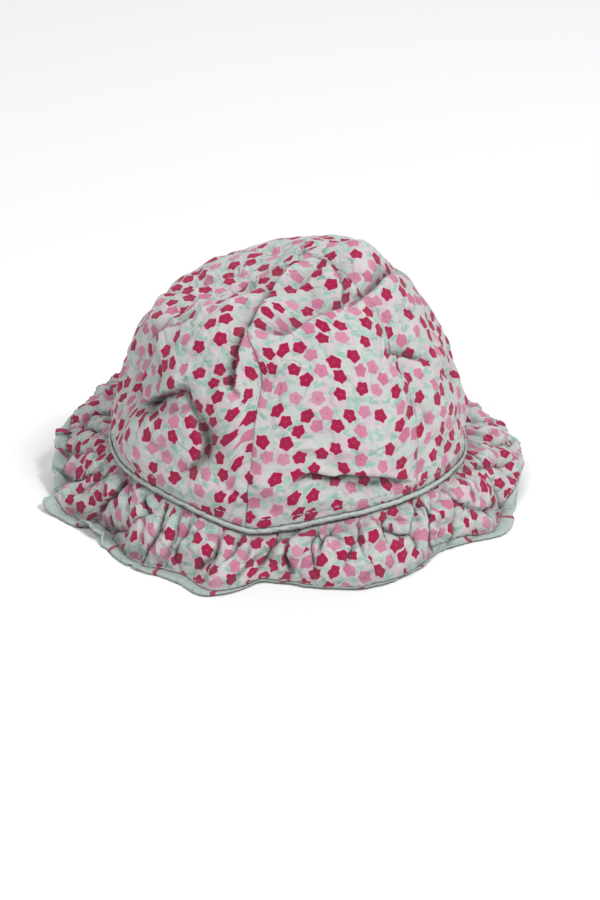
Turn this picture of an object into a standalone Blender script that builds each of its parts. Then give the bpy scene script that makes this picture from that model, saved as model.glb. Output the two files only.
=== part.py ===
# A child's cotton sun hat: a soft six-panel crown, a piped seam and a gathered ruffle brim
# whose mint facing is turned up over the hem. Metres, +Z up. The front is -Y, an azimuth
# runs from the front towards +X in degrees, and the hat rests on its hem at z = 0.
import math
from collections import namedtuple

import bmesh
import bpy
import numpy as np

# Sizes that can be set by themselves
HEAD_GIRTH = 0.472          # round the inside of the crown, just above the piping
CROWN_HEIGHT = 0.0845       # from the top of the piping to the top of the crown
CROWN_FULLNESS = 2.15       # 2 makes the crown half an ellipse, and more squares its shoulders
CROWN_LEAN = 0.0055         # how far the slack crown has slumped towards +X at its top
CROWN_CLOTH = 0.0013        # wall of the crown, two layers of cotton
BRIM_CLOTH = 0.0012         # wall of the printed ruffle, and of the facing under it
PIPING_DIAMETER = 0.0030
PIPING_PROUD = 0.0004       # its centre line stands this far out from the crown's wall
PIPING_HEIGHT = 0.0245      # of the piping's centre line above what the hat rests on
BRIM_REACH = 0.0270         # from the piping's centre line out to the hem
HEM_BORDER = 0.0055         # facing that is turned up over the hem and shows from above
SEAM_GAP = 0.0003           # between sewn pieces
LAYER_GAP = 0.0004          # between the printed ruffle and the facing under it
FOLD_DEPTH = 0.0100         # of the deepest crease in the crown
FOLD_WIDTH = 0.0060         # from such a crease to where the cloth is level again
HOLLOW_DEPTH = 0.0080       # of the widest hollow in the crown
HOLLOW_RADIUS = 0.0300
LIP_HEIGHT = 0.55           # of the proud cloth beside a crease, as a share of its depth
LIP_PLACE = 0.70            # of that cloth from the crease, as a share of its width
LIP_SPREAD = 0.50
LIP_OVERHANG = 0.32         # how far it leans over the crease, as a share of its depth
CREASE_SHARPNESS = 1.3      # 1 is a V, 2 is rounded
CREASE_FADE = 0.6           # the lower, the further a crease keeps its depth towards its ends
CREASE_END = 0.05           # a crease stops this far short of its end points
HEM_FLAT = 0.95             # creases and hollows end from this drop down to the piping
SEAM_DIP = 0.0009           # the panels sink this far into each seam
SEAM_DIP_WIDTH = 0.0040
GATHER_DEPTH = 0.0052       # of the deepest gather in the ruffle, near the piping
HEM_LIFT = 0.0280           # of the highest part of the wavy hem above its lowest
HEM_PRESS = 0.0060          # how far its own weight presses the lowest parts of the hem down
PRESSED_LIFT = 0.0020       # parts lifted more than this aren't pressed
SEAM_STIFFNESS = 0.45       # how far the ruffle runs level from the seam, as a share of its width
HEM_STIFFNESS = 0.30        # how far it runs straight into the hem
HEM_SLOPE = 0.16            # how far it comes down over that last stretch
BRIM_PUFF = 0.0018          # how far the ruffle arches up between piping and hem
GATHER_RIDGE = 0.45         # how far a gather's ridges stand up, as a share of its depth
GATHER_ROUNDNESS = 0.6      # of those ridges; the valleys between them stay sharp
GATHER_KEPT = 0.2           # share of a gather's depth that reaches the hem
GATHER_FADE = 0.35          # share of a gather's run over which it keeps its full depth

# The crown's six panels: where each begins, and how finely it is faceted
Panel = namedtuple("Panel", "node start columns rows")
PANELS = (
    Panel("crown_panel_front", -13, 15, 22),
    Panel("crown_panel_front_right", 44, 11, 18),
    Panel("crown_panel_back_right", 103, 8, 12),
    Panel("crown_panel_back", 163, 8, 12),
    Panel("crown_panel_back_left", 223, 8, 12),
    Panel("crown_panel_front_left", 287, 15, 22),
)

# Broad hollows (below 0) and swells of the slack crown. A drop is a share of the way
# from the top of the crown (0) to the piping (1). Depth and radius are shares of
# HOLLOW_DEPTH and HOLLOW_RADIUS.
Hollow = namedtuple("Hollow", "azimuth drop depth radius")
HOLLOWS = (
    Hollow(-80, 0.24, -1.00, 0.75),
    Hollow(-86, 0.52, 0.50, 0.80),
    Hollow(-78, 0.78, -0.95, 0.55),
    Hollow(-58, 0.91, 0.40, 0.50),
    Hollow(-38, 0.42, 0.35, 0.75),
    Hollow(-1, 0.29, -0.50, 0.50),
    Hollow(16, 0.60, 0.45, 0.90),
    Hollow(47, 0.56, -0.30, 0.40),
    Hollow(80, 0.22, 0.80, 0.75),
    Hollow(86, 0.55, -0.45, 1.00),
    Hollow(135, 0.70, -0.35, 0.80),
    Hollow(160, 0.35, 0.25, 0.70),
    Hollow(190, 0.60, -0.45, 0.80),
    Hollow(228, 0.45, 0.25, 0.75),
    Hollow(240, 0.80, -0.40, 0.65),
)

# Creases, each a curve from its start to its end through a middle point. Depth and
# width are shares of FOLD_DEPTH and FOLD_WIDTH, and lap is how far the cloth on the
# crease's right-hand side, going from start to end, stands proud and overhangs it.
Crease = namedtuple(
    "Crease",
    "start start_drop middle middle_drop end end_drop depth width lap",
)
CREASES = (
    Crease(-20, 0.06, -14, 0.34, -22, 0.64, 0.95, 1.05, -0.90),
    Crease(-12, 0.44, 9, 0.375, 28, 0.33, 0.75, 0.85, 0.90),
    Crease(25, 0.35, 53, 0.31, 100, 0.36, 0.70, 0.85, 0.60),
    Crease(46, 0.11, 35, 0.25, 25, 0.36, 0.50, 0.80, 0.30),
    Crease(-10, 0.31, -1, 0.21, 22, 0.11, 0.40, 0.65, 0.60),
    Crease(38, 0.53, 47, 0.56, 60, 0.63, 0.50, 0.70, 0.60),
    Crease(40, 0.71, 46, 0.75, 50, 0.82, 0.30, 0.60, 0.40),
    Crease(-1, 0.91, 16, 0.89, 42, 0.98, 0.55, 0.65, -0.90),
    Crease(-45, 0.66, -32, 0.79, -38, 0.97, 0.50, 1.10, 0.50),
    Crease(-84, 0.75, -60, 0.775, -40, 0.67, 1.00, 0.95, -0.70),
    Crease(-62, 0.80, -50, 0.80, -37, 0.73, 0.30, 0.80, 0.40),
    Crease(-86, 0.61, -65, 0.50, -54, 0.44, 0.35, 0.90, 0.50),
    Crease(-78, 0.57, -64, 0.63, -57, 0.74, 0.45, 0.80, -0.50),
    Crease(-98, 0.50, -68, 0.36, -50, 0.20, 0.30, 0.90, 0.40),
    Crease(66, 0.68, 82, 0.76, 98, 0.70, 0.40, 1.00, 0.40),
    Crease(112, 0.25, 122, 0.50, 116, 0.75, 0.55, 1.20, 0.50),
    Crease(170, 0.30, 186, 0.52, 212, 0.56, 0.60, 1.20, 0.50),
    Crease(206, 0.74, 222, 0.80, 246, 0.74, 0.55, 1.10, 0.50),
    Crease(258, 0.20, 262, 0.45, 250, 0.66, 0.50, 1.20, -0.50),
)

# The line of the piping: its height as a share of PIPING_HEIGHT
PipingStation = namedtuple("PipingStation", "azimuth height")
PIPING_LINE = (
    PipingStation(-110, 1.10),
    PipingStation(-86, 1.14),
    PipingStation(-68, 1.07),
    PipingStation(-45, 1.03),
    PipingStation(-34, 0.95),
    PipingStation(-22, 0.79),
    PipingStation(-11, 0.68),
    PipingStation(0, 0.77),
    PipingStation(12, 0.89),
    PipingStation(24, 0.94),
    PipingStation(46, 0.99),
    PipingStation(64, 1.00),
    PipingStation(85, 0.93),
    PipingStation(115, 1.00),
    PipingStation(150, 1.04),
    PipingStation(205, 0.96),
)

# The hem: how far out it lies and how high it is lifted, as shares of BRIM_REACH
# and HEM_LIFT
HemStation = namedtuple("HemStation", "azimuth reach lift")
HEM = (
    HemStation(-148, 0.96, 0.40),
    HemStation(-134, 0.90, 0.88),
    HemStation(-125, 1.14, 0.84),
    HemStation(-116, 1.02, 0.76),
    HemStation(-110, 1.22, 0.66),
    HemStation(-100, 1.12, 0.38),
    HemStation(-91, 0.98, 0.24),
    HemStation(-86, 0.90, 0.06),
    HemStation(-79, 1.04, 0.06),
    HemStation(-72, 0.80, 0.00),
    HemStation(-64, 0.60, 0.05),
    HemStation(-54, 0.54, 0.02),
    HemStation(-46, 0.72, 0.00),
    HemStation(-38, 0.86, 0.00),
    HemStation(-30, 0.68, 0.02),
    HemStation(-24, 0.84, 0.00),
    HemStation(-18, 1.10, 0.00),
    HemStation(-13, 0.92, 0.02),
    HemStation(-6, 0.50, 0.04),
    HemStation(0, 0.56, 0.00),
    HemStation(10, 0.78, 0.00),
    HemStation(22, 0.92, 0.00),
    HemStation(34, 0.72, 0.00),
    HemStation(44, 0.46, 0.04),
    HemStation(54, 0.50, 0.04),
    HemStation(64, 0.86, 0.02),
    HemStation(74, 0.86, 0.02),
    HemStation(82, 0.98, 0.10),
    HemStation(90, 1.14, 0.18),
    HemStation(99, 1.08, 0.16),
    HemStation(107, 1.02, 0.28),
    HemStation(116, 0.92, 0.40),
    HemStation(125, 0.98, 0.52),
    HemStation(138, 1.06, 0.24),
    HemStation(152, 0.86, 0.06),
    HemStation(166, 1.02, 0.38),
    HemStation(182, 0.84, 0.00),
    HemStation(196, 1.00, 0.30),
)

# Gathers that show from the front: where each valley leaves the piping, how many
# degrees it has drifted by the hem, its depth as a share of GATHER_DEPTH, and how
# much of the way to the hem it runs
Gather = namedtuple("Gather", "azimuth drift depth run")
GATHERS = (
    Gather(-98, -6, 0.85, 0.95),
    Gather(-88, 2, 1.00, 1.00),
    Gather(-79, -6, 0.60, 0.70),
    Gather(-70, 8, 1.00, 1.05),
    Gather(-62, 5, 0.60, 0.70),
    Gather(-54, 8, 0.80, 0.80),
    Gather(-46, 6, 1.00, 1.10),
    Gather(-38, 4, 0.55, 0.60),
    Gather(-30, 3, 0.70, 0.75),
    Gather(-21, 0, 0.60, 1.00),
    Gather(-12, -4, 0.75, 0.90),
    Gather(-3, -4, 0.95, 0.85),
    Gather(6, -4, 1.00, 0.80),
    Gather(14, -3, 0.80, 0.70),
    Gather(22, 0, 0.60, 0.65),
    Gather(31, 0, 0.75, 0.60),
    Gather(39, 1, 1.00, 0.80),
    Gather(47, 0, 0.90, 1.05),
    Gather(56, 2, 0.70, 0.80),
    Gather(66, 1, 0.80, 1.00),
    Gather(76, 2, 0.60, 0.75),
    Gather(86, 0, 0.90, 0.85),
    Gather(96, 2, 1.00, 0.90),
    Gather(107, 1, 0.80, 1.00),
)
HIDDEN_GATHERS = 14         # spread round the back, where nothing shows
HIDDEN_DEPTH = 0.80         # their mean depth, as a share of GATHER_DEPTH
HIDDEN_RUN = 0.90           # their mean run
HIDDEN_DRIFT = 3.0          # their greatest drift
HIDDEN_SPREAD = 0.22        # how far they vary, in spacing, depth and run
HIDDEN_SWING = 2.4          # sets how that varies from one to the next
FRONT_GATHER_COLUMNS = 4    # facets from one valley to the next
BACK_GATHER_COLUMNS = 3

# Where the brim's facets run round it, as shares of the way from the piping to the
# edge of the printed cloth
RUFFLE_ROWS = (0.0, 0.10, 0.28, 0.60, 1.0)
PRESS_START = 0.50          # the cloth is pressed from this share of the brim out to the hem
GATHER_START = 0.07         # the cloth is flat in the seam up to this share of the brim
GATHER_FULL = 0.24          # and fully gathered from this one
PIPING_COLUMNS = 60
PIPING_SIDES = 6
CREASE_STEPS = 14
PANEL_TIP = 0.0009          # radius at the top of the crown where the panels' tips end

# Sizes worked out from those above
crown_radius = HEAD_GIRTH / (2 * math.pi) + CROWN_CLOTH
piping_radius = PIPING_DIAMETER / 2
piping_ring = crown_radius + PIPING_PROUD
stack = 2 * BRIM_CLOTH + LAYER_GAP
brim_width = math.hypot(BRIM_REACH, PIPING_HEIGHT)
print_edge = 1 - HEM_BORDER / brim_width    # where the print ends, as a share of the brim


def loop_curve(stations, values, azimuths):
    """A smooth closed curve round the hat through one value at each station, in degrees."""
    stations = np.asarray(stations, float)
    values = np.asarray(values, float)
    order = np.argsort(stations)
    stations, values = stations[order], values[order]
    count = len(stations)
    x = np.concatenate([stations - 360, stations, stations + 360])
    y = np.tile(values, 3)
    slope = np.gradient(y, x)
    at = (np.asarray(azimuths, float) - stations[0]) % 360 + stations[0]
    i = np.clip(np.searchsorted(x, at, side="right") - 1, count - 1, 2 * count)
    span = x[i + 1] - x[i]
    t = (at - x[i]) / span
    start, end = y[i], y[i + 1]
    return (
        start * (1 + 2 * t) * (1 - t) ** 2
        + slope[i] * span * t * (1 - t) ** 2
        + end * t * t * (3 - 2 * t)
        - slope[i + 1] * span * t * t * (1 - t)
    )


def smooth(low, high, value):
    t = np.clip((value - low) / (high - low), 0, 1)
    return t * t * (3 - 2 * t)


def outward(azimuths):
    """Unit vectors that point out of the hat, level, at each azimuth."""
    angle = np.radians(azimuths)
    return np.stack([np.sin(angle), -np.cos(angle), np.zeros_like(angle)], axis=-1)


def piping_height(azimuths):
    heights = [s.height for s in PIPING_LINE]
    return PIPING_HEIGHT * loop_curve([s.azimuth for s in PIPING_LINE], heights, azimuths)


def dome_shares(drops):
    """How far out and how far up the dome is, as shares of its radius and its height."""
    quarter = drops * math.pi / 2
    return np.sin(quarter) ** (2 / CROWN_FULLNESS), np.cos(quarter) ** (2 / CROWN_FULLNESS)


def dome_point(azimuths, drops):
    """The crown before it slumps into hollows and creases."""
    out, rise = dome_shares(drops)
    base = piping_height(azimuths) + piping_radius + SEAM_GAP
    point = outward(azimuths) * (crown_radius * out)[..., None]
    point[..., 0] += CROWN_LEAN * rise
    point[..., 2] = base + rise * (PIPING_HEIGHT + piping_radius + CROWN_HEIGHT - base)
    return point


def dome_normal(azimuths, drops):
    out, rise = dome_shares(drops)
    normal = outward(azimuths) * (CROWN_HEIGHT * out ** (CROWN_FULLNESS - 1))[..., None]
    normal[..., 2] = crown_radius * rise ** (CROWN_FULLNESS - 1)
    return normal / np.linalg.norm(normal, axis=-1, keepdims=True)


def crease_path(crease):
    """Points along a crease on the dome, and the way it runs at each."""
    t = np.linspace(CREASE_END, 1 - CREASE_END, CREASE_STEPS + 1)
    shares = ((1 - t) * (1 - 2 * t), 4 * t * (1 - t), t * (2 * t - 1))
    azimuth = shares[0] * crease.start + shares[1] * crease.middle + shares[2] * crease.end
    drop = (
        shares[0] * crease.start_drop
        + shares[1] * crease.middle_drop
        + shares[2] * crease.end_drop
    )
    point = dome_point(azimuth, drop)
    return point, np.gradient(point, axis=0), t


def crease_shift(crease, points, normals):
    """How far a crease moves each point, along the dome's normal and across the crease."""
    path, run, t = crease_path(crease)
    apart = points[..., None, :] - path
    nearest = np.argmin((apart ** 2).sum(axis=-1), axis=-1)
    away = np.take_along_axis(apart, nearest[..., None, None], axis=-2)[..., 0, :]
    along = run[nearest]
    side = np.cross(along, normals)
    side /= np.maximum(np.linalg.norm(side, axis=-1, keepdims=True), 1e-9)
    across = (away * side).sum(axis=-1)
    level = away - across[..., None] * side
    distance = np.sqrt(across ** 2 + (level ** 2).sum(axis=-1))
    width = FOLD_WIDTH * crease.width
    depth = FOLD_DEPTH * crease.depth * np.sin(math.pi * t[nearest]) ** CREASE_FADE
    valley = np.exp(-((distance / width) ** CREASE_SHARPNESS))
    proud = (across * math.copysign(1, crease.lap) / width - LIP_PLACE) / LIP_SPREAD
    past_end = (level ** 2).sum(axis=-1) / width ** 2
    lip = abs(crease.lap) * np.exp(-(proud ** 2) - past_end)
    over = LIP_OVERHANG * depth * lip * math.copysign(1, crease.lap)
    return depth * (LIP_HEIGHT * lip - valley), -side * over[..., None]


def crown_point(azimuths, drops, depth):
    """The crown's surface, or a surface this deep inside its wall."""
    point = dome_point(azimuths, drops)
    normal = dome_normal(azimuths, drops)
    hem = 1 - smooth(HEM_FLAT, 1, drops)
    rise = np.zeros_like(drops)
    shift = np.zeros_like(point)
    for hollow in HOLLOWS:
        centre = dome_point(np.array([hollow.azimuth]), np.array([hollow.drop]))[0]
        apart = np.linalg.norm(point - centre, axis=-1) / (HOLLOW_RADIUS * hollow.radius)
        rise += HOLLOW_DEPTH * hollow.depth * np.exp(-(apart ** 2))
    for crease in CREASES:
        up, over = crease_shift(crease, point, normal)
        rise += up
        shift += over
    for panel in PANELS:
        turn = np.radians((azimuths - panel.start + 180) % 360 - 180)
        beside = np.abs(turn) * crown_radius * dome_shares(drops)[0]
        rise -= SEAM_DIP * np.exp(-((beside / SEAM_DIP_WIDTH) ** 2))
    rise *= hem
    shift *= hem[..., None]
    return point + normal * (rise - depth)[..., None] + shift


def gather_lines():
    """The valleys of the ruffle in order round the hat, those behind worked out evenly."""
    first, last = GATHERS[0], GATHERS[-1]
    room = first.azimuth + 360 - last.azimuth
    lines = list(GATHERS)
    for i in range(HIDDEN_GATHERS):
        swing = math.sin(HIDDEN_SWING * (i + 1))
        vary = 1 + HIDDEN_SPREAD * math.cos(HIDDEN_SWING * i)
        azimuth = last.azimuth + room * (i + 1 + HIDDEN_SPREAD * swing) / (HIDDEN_GATHERS + 1)
        lines.append(Gather(azimuth, HIDDEN_DRIFT * swing, HIDDEN_DEPTH * vary, HIDDEN_RUN * vary))
    return lines


def gather_columns(front_columns, back_columns):
    """For each column of facets: the valley before it, the one after it, and its share between."""
    lines = gather_lines()
    before, after, share = [], [], []
    for i, line in enumerate(lines):
        columns = front_columns if i < len(GATHERS) - 1 else back_columns
        for j in range(columns):
            before.append(i)
            after.append((i + 1) % len(lines))
            share.append(j / columns)
    return lines, np.array(before), np.array(after), np.array(share)


def brim_section(azimuths, along):
    """The brim without gathers: radius, height, and the slope's normal in that plane.
    The surface is the underside of the facing, and along is 0 at the piping, 1 at the hem."""
    stations = [s.azimuth for s in HEM]
    reach = BRIM_REACH * loop_curve(stations, [s.reach for s in HEM], azimuths)
    lift = HEM_LIFT * loop_curve(stations, [s.lift for s in HEM], azimuths)
    lift = np.maximum(lift, 0)
    start_height = piping_height(azimuths) - piping_radius - 2 * SEAM_GAP - stack
    start = np.stack([np.full_like(reach, crown_radius - CROWN_CLOTH), start_height])
    end = np.stack([piping_ring + reach, lift])
    length = np.linalg.norm(end - start, axis=0)
    leave = start + np.stack([SEAM_STIFFNESS * length, np.full_like(length, BRIM_PUFF)])
    arrive = end + np.stack([-HEM_STIFFNESS * length, HEM_SLOPE * length + BRIM_PUFF])
    t = along
    shares = ((1 - t) ** 3, 3 * t * (1 - t) ** 2, 3 * t * t * (1 - t), t ** 3)
    slopes = (-3 * (1 - t) ** 2, 3 * (1 - t) * (1 - 3 * t), 3 * t * (2 - 3 * t), 3 * t * t)
    corners = (start, leave, arrive, end)
    radius, height = sum(share * corner for share, corner in zip(shares, corners))
    height -= HEM_PRESS * smooth(PRESS_START, print_edge, t) * (1 - smooth(0, PRESSED_LIFT, lift))
    run, fall = sum(slope * corner for slope, corner in zip(slopes, corners))
    size = np.hypot(run, fall)
    return radius, height, -fall / size, run / size


def brim_point(columns, along, above):
    """The brim's surface this far above the underside of its facing, for every column."""
    lines, before, after, share = columns
    start = np.array([line.azimuth for line in lines])
    drift = np.array([line.drift for line in lines])
    depth = np.array([line.depth for line in lines])
    run = np.array([line.run for line in lines])
    valley = start + drift * along
    next_valley = valley[after] + np.where(after == 0, 360, 0)
    azimuths = valley[before] * (1 - share) + next_valley * share
    radius, height, out, up = brim_section(azimuths, np.full_like(azimuths, along))
    gathered = smooth(GATHER_START, GATHER_FULL, along)
    fade = depth * gathered * (1 - (1 - GATHER_KEPT) * smooth(GATHER_FADE * run, run, along))
    strength = fade[before] * (1 - share) + fade[after] * share
    hollow = 1 - (1 - (2 * share - 1) ** 2) ** GATHER_ROUNDNESS
    rise = GATHER_DEPTH * strength * (GATHER_RIDGE - hollow)
    radius = radius + (rise + above) * out
    height = np.maximum(height + (rise + above) * up, above)
    point = outward(azimuths) * radius[:, None]
    point[:, 2] = height
    return point


def sheet_faces(first, second, closed, turned):
    """Triangles between two rows of vertex numbers, split along the same diagonal
    whether the sheet faces one way or, turned, the other."""
    count = len(first)
    faces = []
    for i in range(count if closed else count - 1):
        a, b = first[i], first[(i + 1) % count]
        c, d = second[(i + 1) % count], second[i]
        faces += [(a, c, b), (a, d, c)] if turned else [(a, b, c), (a, c, d)]
    return faces


def band_mesh(name, over, under):
    """A closed band round the hat from the rows of its upper and lower sheets."""
    columns = len(over[0])
    points = np.concatenate(over + under)
    rows = np.arange(len(points)).reshape(-1, columns)
    top, bottom = rows[:len(over)], rows[len(over):]
    faces = []
    for sheet, turned in ((top, False), (bottom, True)):
        for first, second in zip(sheet[:-1], sheet[1:]):
            faces += sheet_faces(first, second, True, turned)
    faces += sheet_faces(top[0], bottom[0], True, True)
    faces += sheet_faces(top[-1], bottom[-1], True, False)
    return mesh_from(name, points, faces)


def panel_mesh(name, outer, inner):
    """A wall between two sheets of the same rows and columns, closed round its edge."""
    rows, columns = outer.shape[:2]
    number = np.arange(rows * columns).reshape(rows, columns)
    inside = number + rows * columns
    faces = []
    for i in range(rows - 1):
        faces += sheet_faces(number[i], number[i + 1], False, False)
        faces += sheet_faces(inside[i], inside[i + 1], False, True)
    rim = np.concatenate([number[0, :-1], number[:-1, -1], number[-1, :0:-1], number[:0:-1, 0]])
    faces += sheet_faces(rim, rim + rows * columns, True, True)
    points = np.concatenate([outer.reshape(-1, 3), inner.reshape(-1, 3)])
    return mesh_from(name, points, faces)


def tube_mesh(name, rings):
    """A closed ring from round sections that go round the hat."""
    columns, corners = rings.shape[:2]
    number = np.arange(columns * corners).reshape(columns, corners)
    faces = []
    for i in range(columns):
        faces += sheet_faces(number[i], number[(i + 1) % columns], True, False)
    return mesh_from(name, rings.reshape(-1, 3), faces)


def mesh_from(name, points, faces):
    mesh = bpy.data.meshes.new(name)
    mesh.from_pydata([tuple(p) for p in points], [], [tuple(map(int, f)) for f in faces])
    work = bmesh.new()
    work.from_mesh(mesh)
    bmesh.ops.recalc_face_normals(work, faces=work.faces)
    work.to_mesh(mesh)
    work.free()
    mesh.shade_smooth()
    return mesh


def cloth_material(name, colour, roughness):
    material = bpy.data.materials.new(name)
    material.use_nodes = True
    shader = material.node_tree.nodes["Principled BSDF"]
    shader.inputs["Base Color"].default_value = (*colour, 1)
    shader.inputs["Roughness"].default_value = roughness
    shader.inputs["Metallic"].default_value = 0
    return material


def add_piece(name, mesh, material):
    piece = bpy.data.objects.new(name, mesh)
    bpy.context.scene.collection.objects.link(piece)
    mesh.materials.append(material)
    return piece


def make_panel(panel, end):
    """One gore of the crown, kept half a seam gap away from each neighbour."""
    drops = np.linspace(0, 1, panel.rows + 1)
    drops[0] = 2 / math.pi * math.asin((PANEL_TIP / crown_radius) ** (CROWN_FULLNESS / 2))
    share = np.linspace(0, 1, panel.columns + 1)
    drop_grid, share_grid = np.meshgrid(drops, share, indexing="ij")
    radius = crown_radius * dome_shares(drop_grid)[0]
    gap = np.degrees(SEAM_GAP / 2 / radius)
    azimuth_grid = (panel.start + gap) * (1 - share_grid) + (end - gap) * share_grid
    outer = crown_point(azimuth_grid, drop_grid, 0)
    inner = crown_point(azimuth_grid, drop_grid, CROWN_CLOTH)
    return panel_mesh(panel.node, outer, inner)


def make_piping():
    azimuths = np.arange(PIPING_COLUMNS) * 360 / PIPING_COLUMNS
    turns = np.arange(PIPING_SIDES) * 2 * math.pi / PIPING_SIDES
    out = outward(azimuths)[:, None, :]
    centre = outward(azimuths) * piping_ring
    centre[:, 2] = piping_height(azimuths)
    ring = centre[:, None, :] + piping_radius * out * np.cos(turns)[None, :, None]
    ring[..., 2] += piping_radius * np.sin(turns)
    return tube_mesh("piping", ring)


def make_ruffle(columns):
    low = BRIM_CLOTH + LAYER_GAP
    rows = [share * print_edge for share in RUFFLE_ROWS]
    over = [brim_point(columns, along, stack) for along in rows]
    under = [brim_point(columns, along, low) for along in rows]
    return band_mesh("brim_ruffle", over, under)


def make_facing(columns):
    """The facing lies under the ruffle, and beyond it steps up level with the print."""
    rows = [share * print_edge for share in RUFFLE_ROWS[1:]]
    step = print_edge + 2 * SEAM_GAP / brim_width
    over = [brim_point(columns, along, BRIM_CLOTH) for along in rows + [step]]
    over += [brim_point(columns, along, stack) for along in (step, 1)]
    under = [brim_point(columns, along, 0) for along in rows + [1]]
    return band_mesh("brim_facing", over, under)


def stand_on_origin(pieces):
    """Hangs the pieces on an empty, placed so that the middle of their box is over the origin."""
    points = np.array([v.co for piece in pieces for v in piece.data.vertices])
    middle = (points.min(axis=0) + points.max(axis=0)) / 2
    hat = bpy.data.objects.new("sun_hat", None)
    bpy.context.scene.collection.objects.link(hat)
    hat.location = (-middle[0], -middle[1], 0)
    for piece in pieces:
        piece.parent = hat


def main():
    for old in list(bpy.data.objects):
        bpy.data.objects.remove(old)
    print_cotton = cloth_material("printed_cotton", (0.74, 0.55, 0.60), 0.9)
    mint_cotton = cloth_material("mint_cotton", (0.58, 0.70, 0.66), 0.9)
    pieces = []
    for panel, following in zip(PANELS, PANELS[1:] + PANELS[:1]):
        end = panel.start + (following.start - panel.start) % 360
        pieces.append(add_piece(panel.node, make_panel(panel, end), print_cotton))
    columns = gather_columns(FRONT_GATHER_COLUMNS, BACK_GATHER_COLUMNS)
    pieces.append(add_piece("piping", make_piping(), mint_cotton))
    pieces.append(add_piece("brim_ruffle", make_ruffle(columns), print_cotton))
    pieces.append(add_piece("brim_facing", make_facing(columns), mint_cotton))
    stand_on_origin(pieces)


main()
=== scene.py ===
# A child's cotton sun hat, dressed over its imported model. Metres, +Z up. The front is -Y, and
# an azimuth runs from the front towards +X, in degrees.
import itertools
import math

import bpy
import numpy as np
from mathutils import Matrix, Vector


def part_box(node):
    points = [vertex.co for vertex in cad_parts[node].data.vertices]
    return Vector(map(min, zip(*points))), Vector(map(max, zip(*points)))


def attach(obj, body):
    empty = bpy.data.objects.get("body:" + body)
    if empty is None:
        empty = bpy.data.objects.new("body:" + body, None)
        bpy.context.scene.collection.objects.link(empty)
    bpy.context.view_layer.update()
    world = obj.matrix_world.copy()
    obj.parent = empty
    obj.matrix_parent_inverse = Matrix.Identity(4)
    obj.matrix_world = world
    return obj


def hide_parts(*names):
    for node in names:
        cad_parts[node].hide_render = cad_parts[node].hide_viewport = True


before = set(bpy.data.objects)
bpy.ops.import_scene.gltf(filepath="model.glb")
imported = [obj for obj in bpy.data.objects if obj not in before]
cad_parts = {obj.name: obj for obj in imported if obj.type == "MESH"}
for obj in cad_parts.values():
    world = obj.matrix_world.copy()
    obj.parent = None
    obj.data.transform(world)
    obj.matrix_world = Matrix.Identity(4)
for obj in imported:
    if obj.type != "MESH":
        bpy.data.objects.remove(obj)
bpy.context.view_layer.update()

pipingLow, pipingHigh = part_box("piping")
hatMiddle = np.array([(pipingLow.x + pipingHigh.x) / 2, (pipingLow.y + pipingHigh.y) / 2, 0])

hat = dict(
    headGirth=0.472,        # round the inside of the crown, just above the piping
    crownWall=0.0013,       # from that girth out to the crown's face
    pipingWidth=0.0030,
    pipingProud=0.0004,     # how far the piping stands out from the crown
    pipingHeight=0.0245,    # of its middle above the table
)
crownRadius = hat["headGirth"] / (2 * math.pi) + hat["crownWall"]
pipingRadius = hat["pipingWidth"] / 2
pipingRing = crownRadius + hat["pipingProud"]


# curves and noise

def loopCurve(rows, column, azimuths):
    # a smooth closed curve round the hat through one value at each row's azimuth
    table = np.array(sorted(rows), float)
    stations, values = table[:, 0], table[:, column]
    count = len(stations)
    x = np.concatenate([stations - 360, stations, stations + 360])
    y = np.tile(values, 3)
    slope = np.gradient(y, x)
    at = (np.asarray(azimuths, float) - stations[0]) % 360 + stations[0]
    i = np.clip(np.searchsorted(x, at, side="right") - 1, count - 1, 2 * count)
    span = x[i + 1] - x[i]
    t = (at - x[i]) / span
    bend = slope[i] * span * t * (1 - t) ** 2 - slope[i + 1] * span * t * t * (1 - t)
    return y[i] * (1 + 2 * t) * (1 - t) ** 2 + y[i + 1] * t * t * (3 - 2 * t) + bend


def smooth(low, high, value):
    t = np.clip((value - low) / (high - low), 0, 1)
    return t * t * (3 - 2 * t)


def outward(azimuths):
    angle = np.radians(azimuths)
    return np.stack([np.sin(angle), -np.cos(angle), np.zeros_like(angle)], axis=-1)


def softNoise(points, size, seed):
    # smooth noise between -1 and 1 whose bumps are about this size
    dice = np.random.default_rng(seed)
    lean = dice.normal(size=(256, 3))
    lean /= np.linalg.norm(lean, axis=1, keepdims=True)
    order = dice.permutation(256)
    place = np.asarray(points, float) / size
    cell = np.floor(place).astype(int)
    within = place - cell
    ease = within ** 3 * (within * (within * 6 - 15) + 10)
    total = np.zeros(place.shape[:-1])
    for corner in itertools.product((0, 1), repeat=3):
        at = (cell + corner) & 255
        pick = order[(order[(order[at[..., 0]] + at[..., 1]) & 255] + at[..., 2]) & 255]
        share = np.prod(np.where(corner, ease, 1 - ease), axis=-1)
        total += share * (lean[pick] * (within - corner)).sum(axis=-1)
    return total * 1.5


def flatNoise(x, y, seed):
    # the same noise over two plain numbers, with bumps about 1 wide
    x, y = np.broadcast_arrays(x, y)
    return softNoise(np.stack([x, y, np.full(x.shape, 0.5)], -1), 1.0, seed)


def ridges(points, size, seed, top=0.6):
    # long soft ridges with narrow crests, up to this height
    return top - 2 * np.abs(softNoise(points, size, seed))


def sheetNormals(points, closed):
    # the way each point of a grid faces
    if closed:
        wide = np.concatenate([points[:, -1:], points, points[:, :1]], axis=1)
        across = np.gradient(wide, axis=1)[:, 1:-1]
    else:
        across = np.gradient(points, axis=1)
    normal = np.cross(across, np.gradient(points, axis=0))
    return normal / np.maximum(np.linalg.norm(normal, axis=-1, keepdims=True), 1e-12)


# meshes

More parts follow.
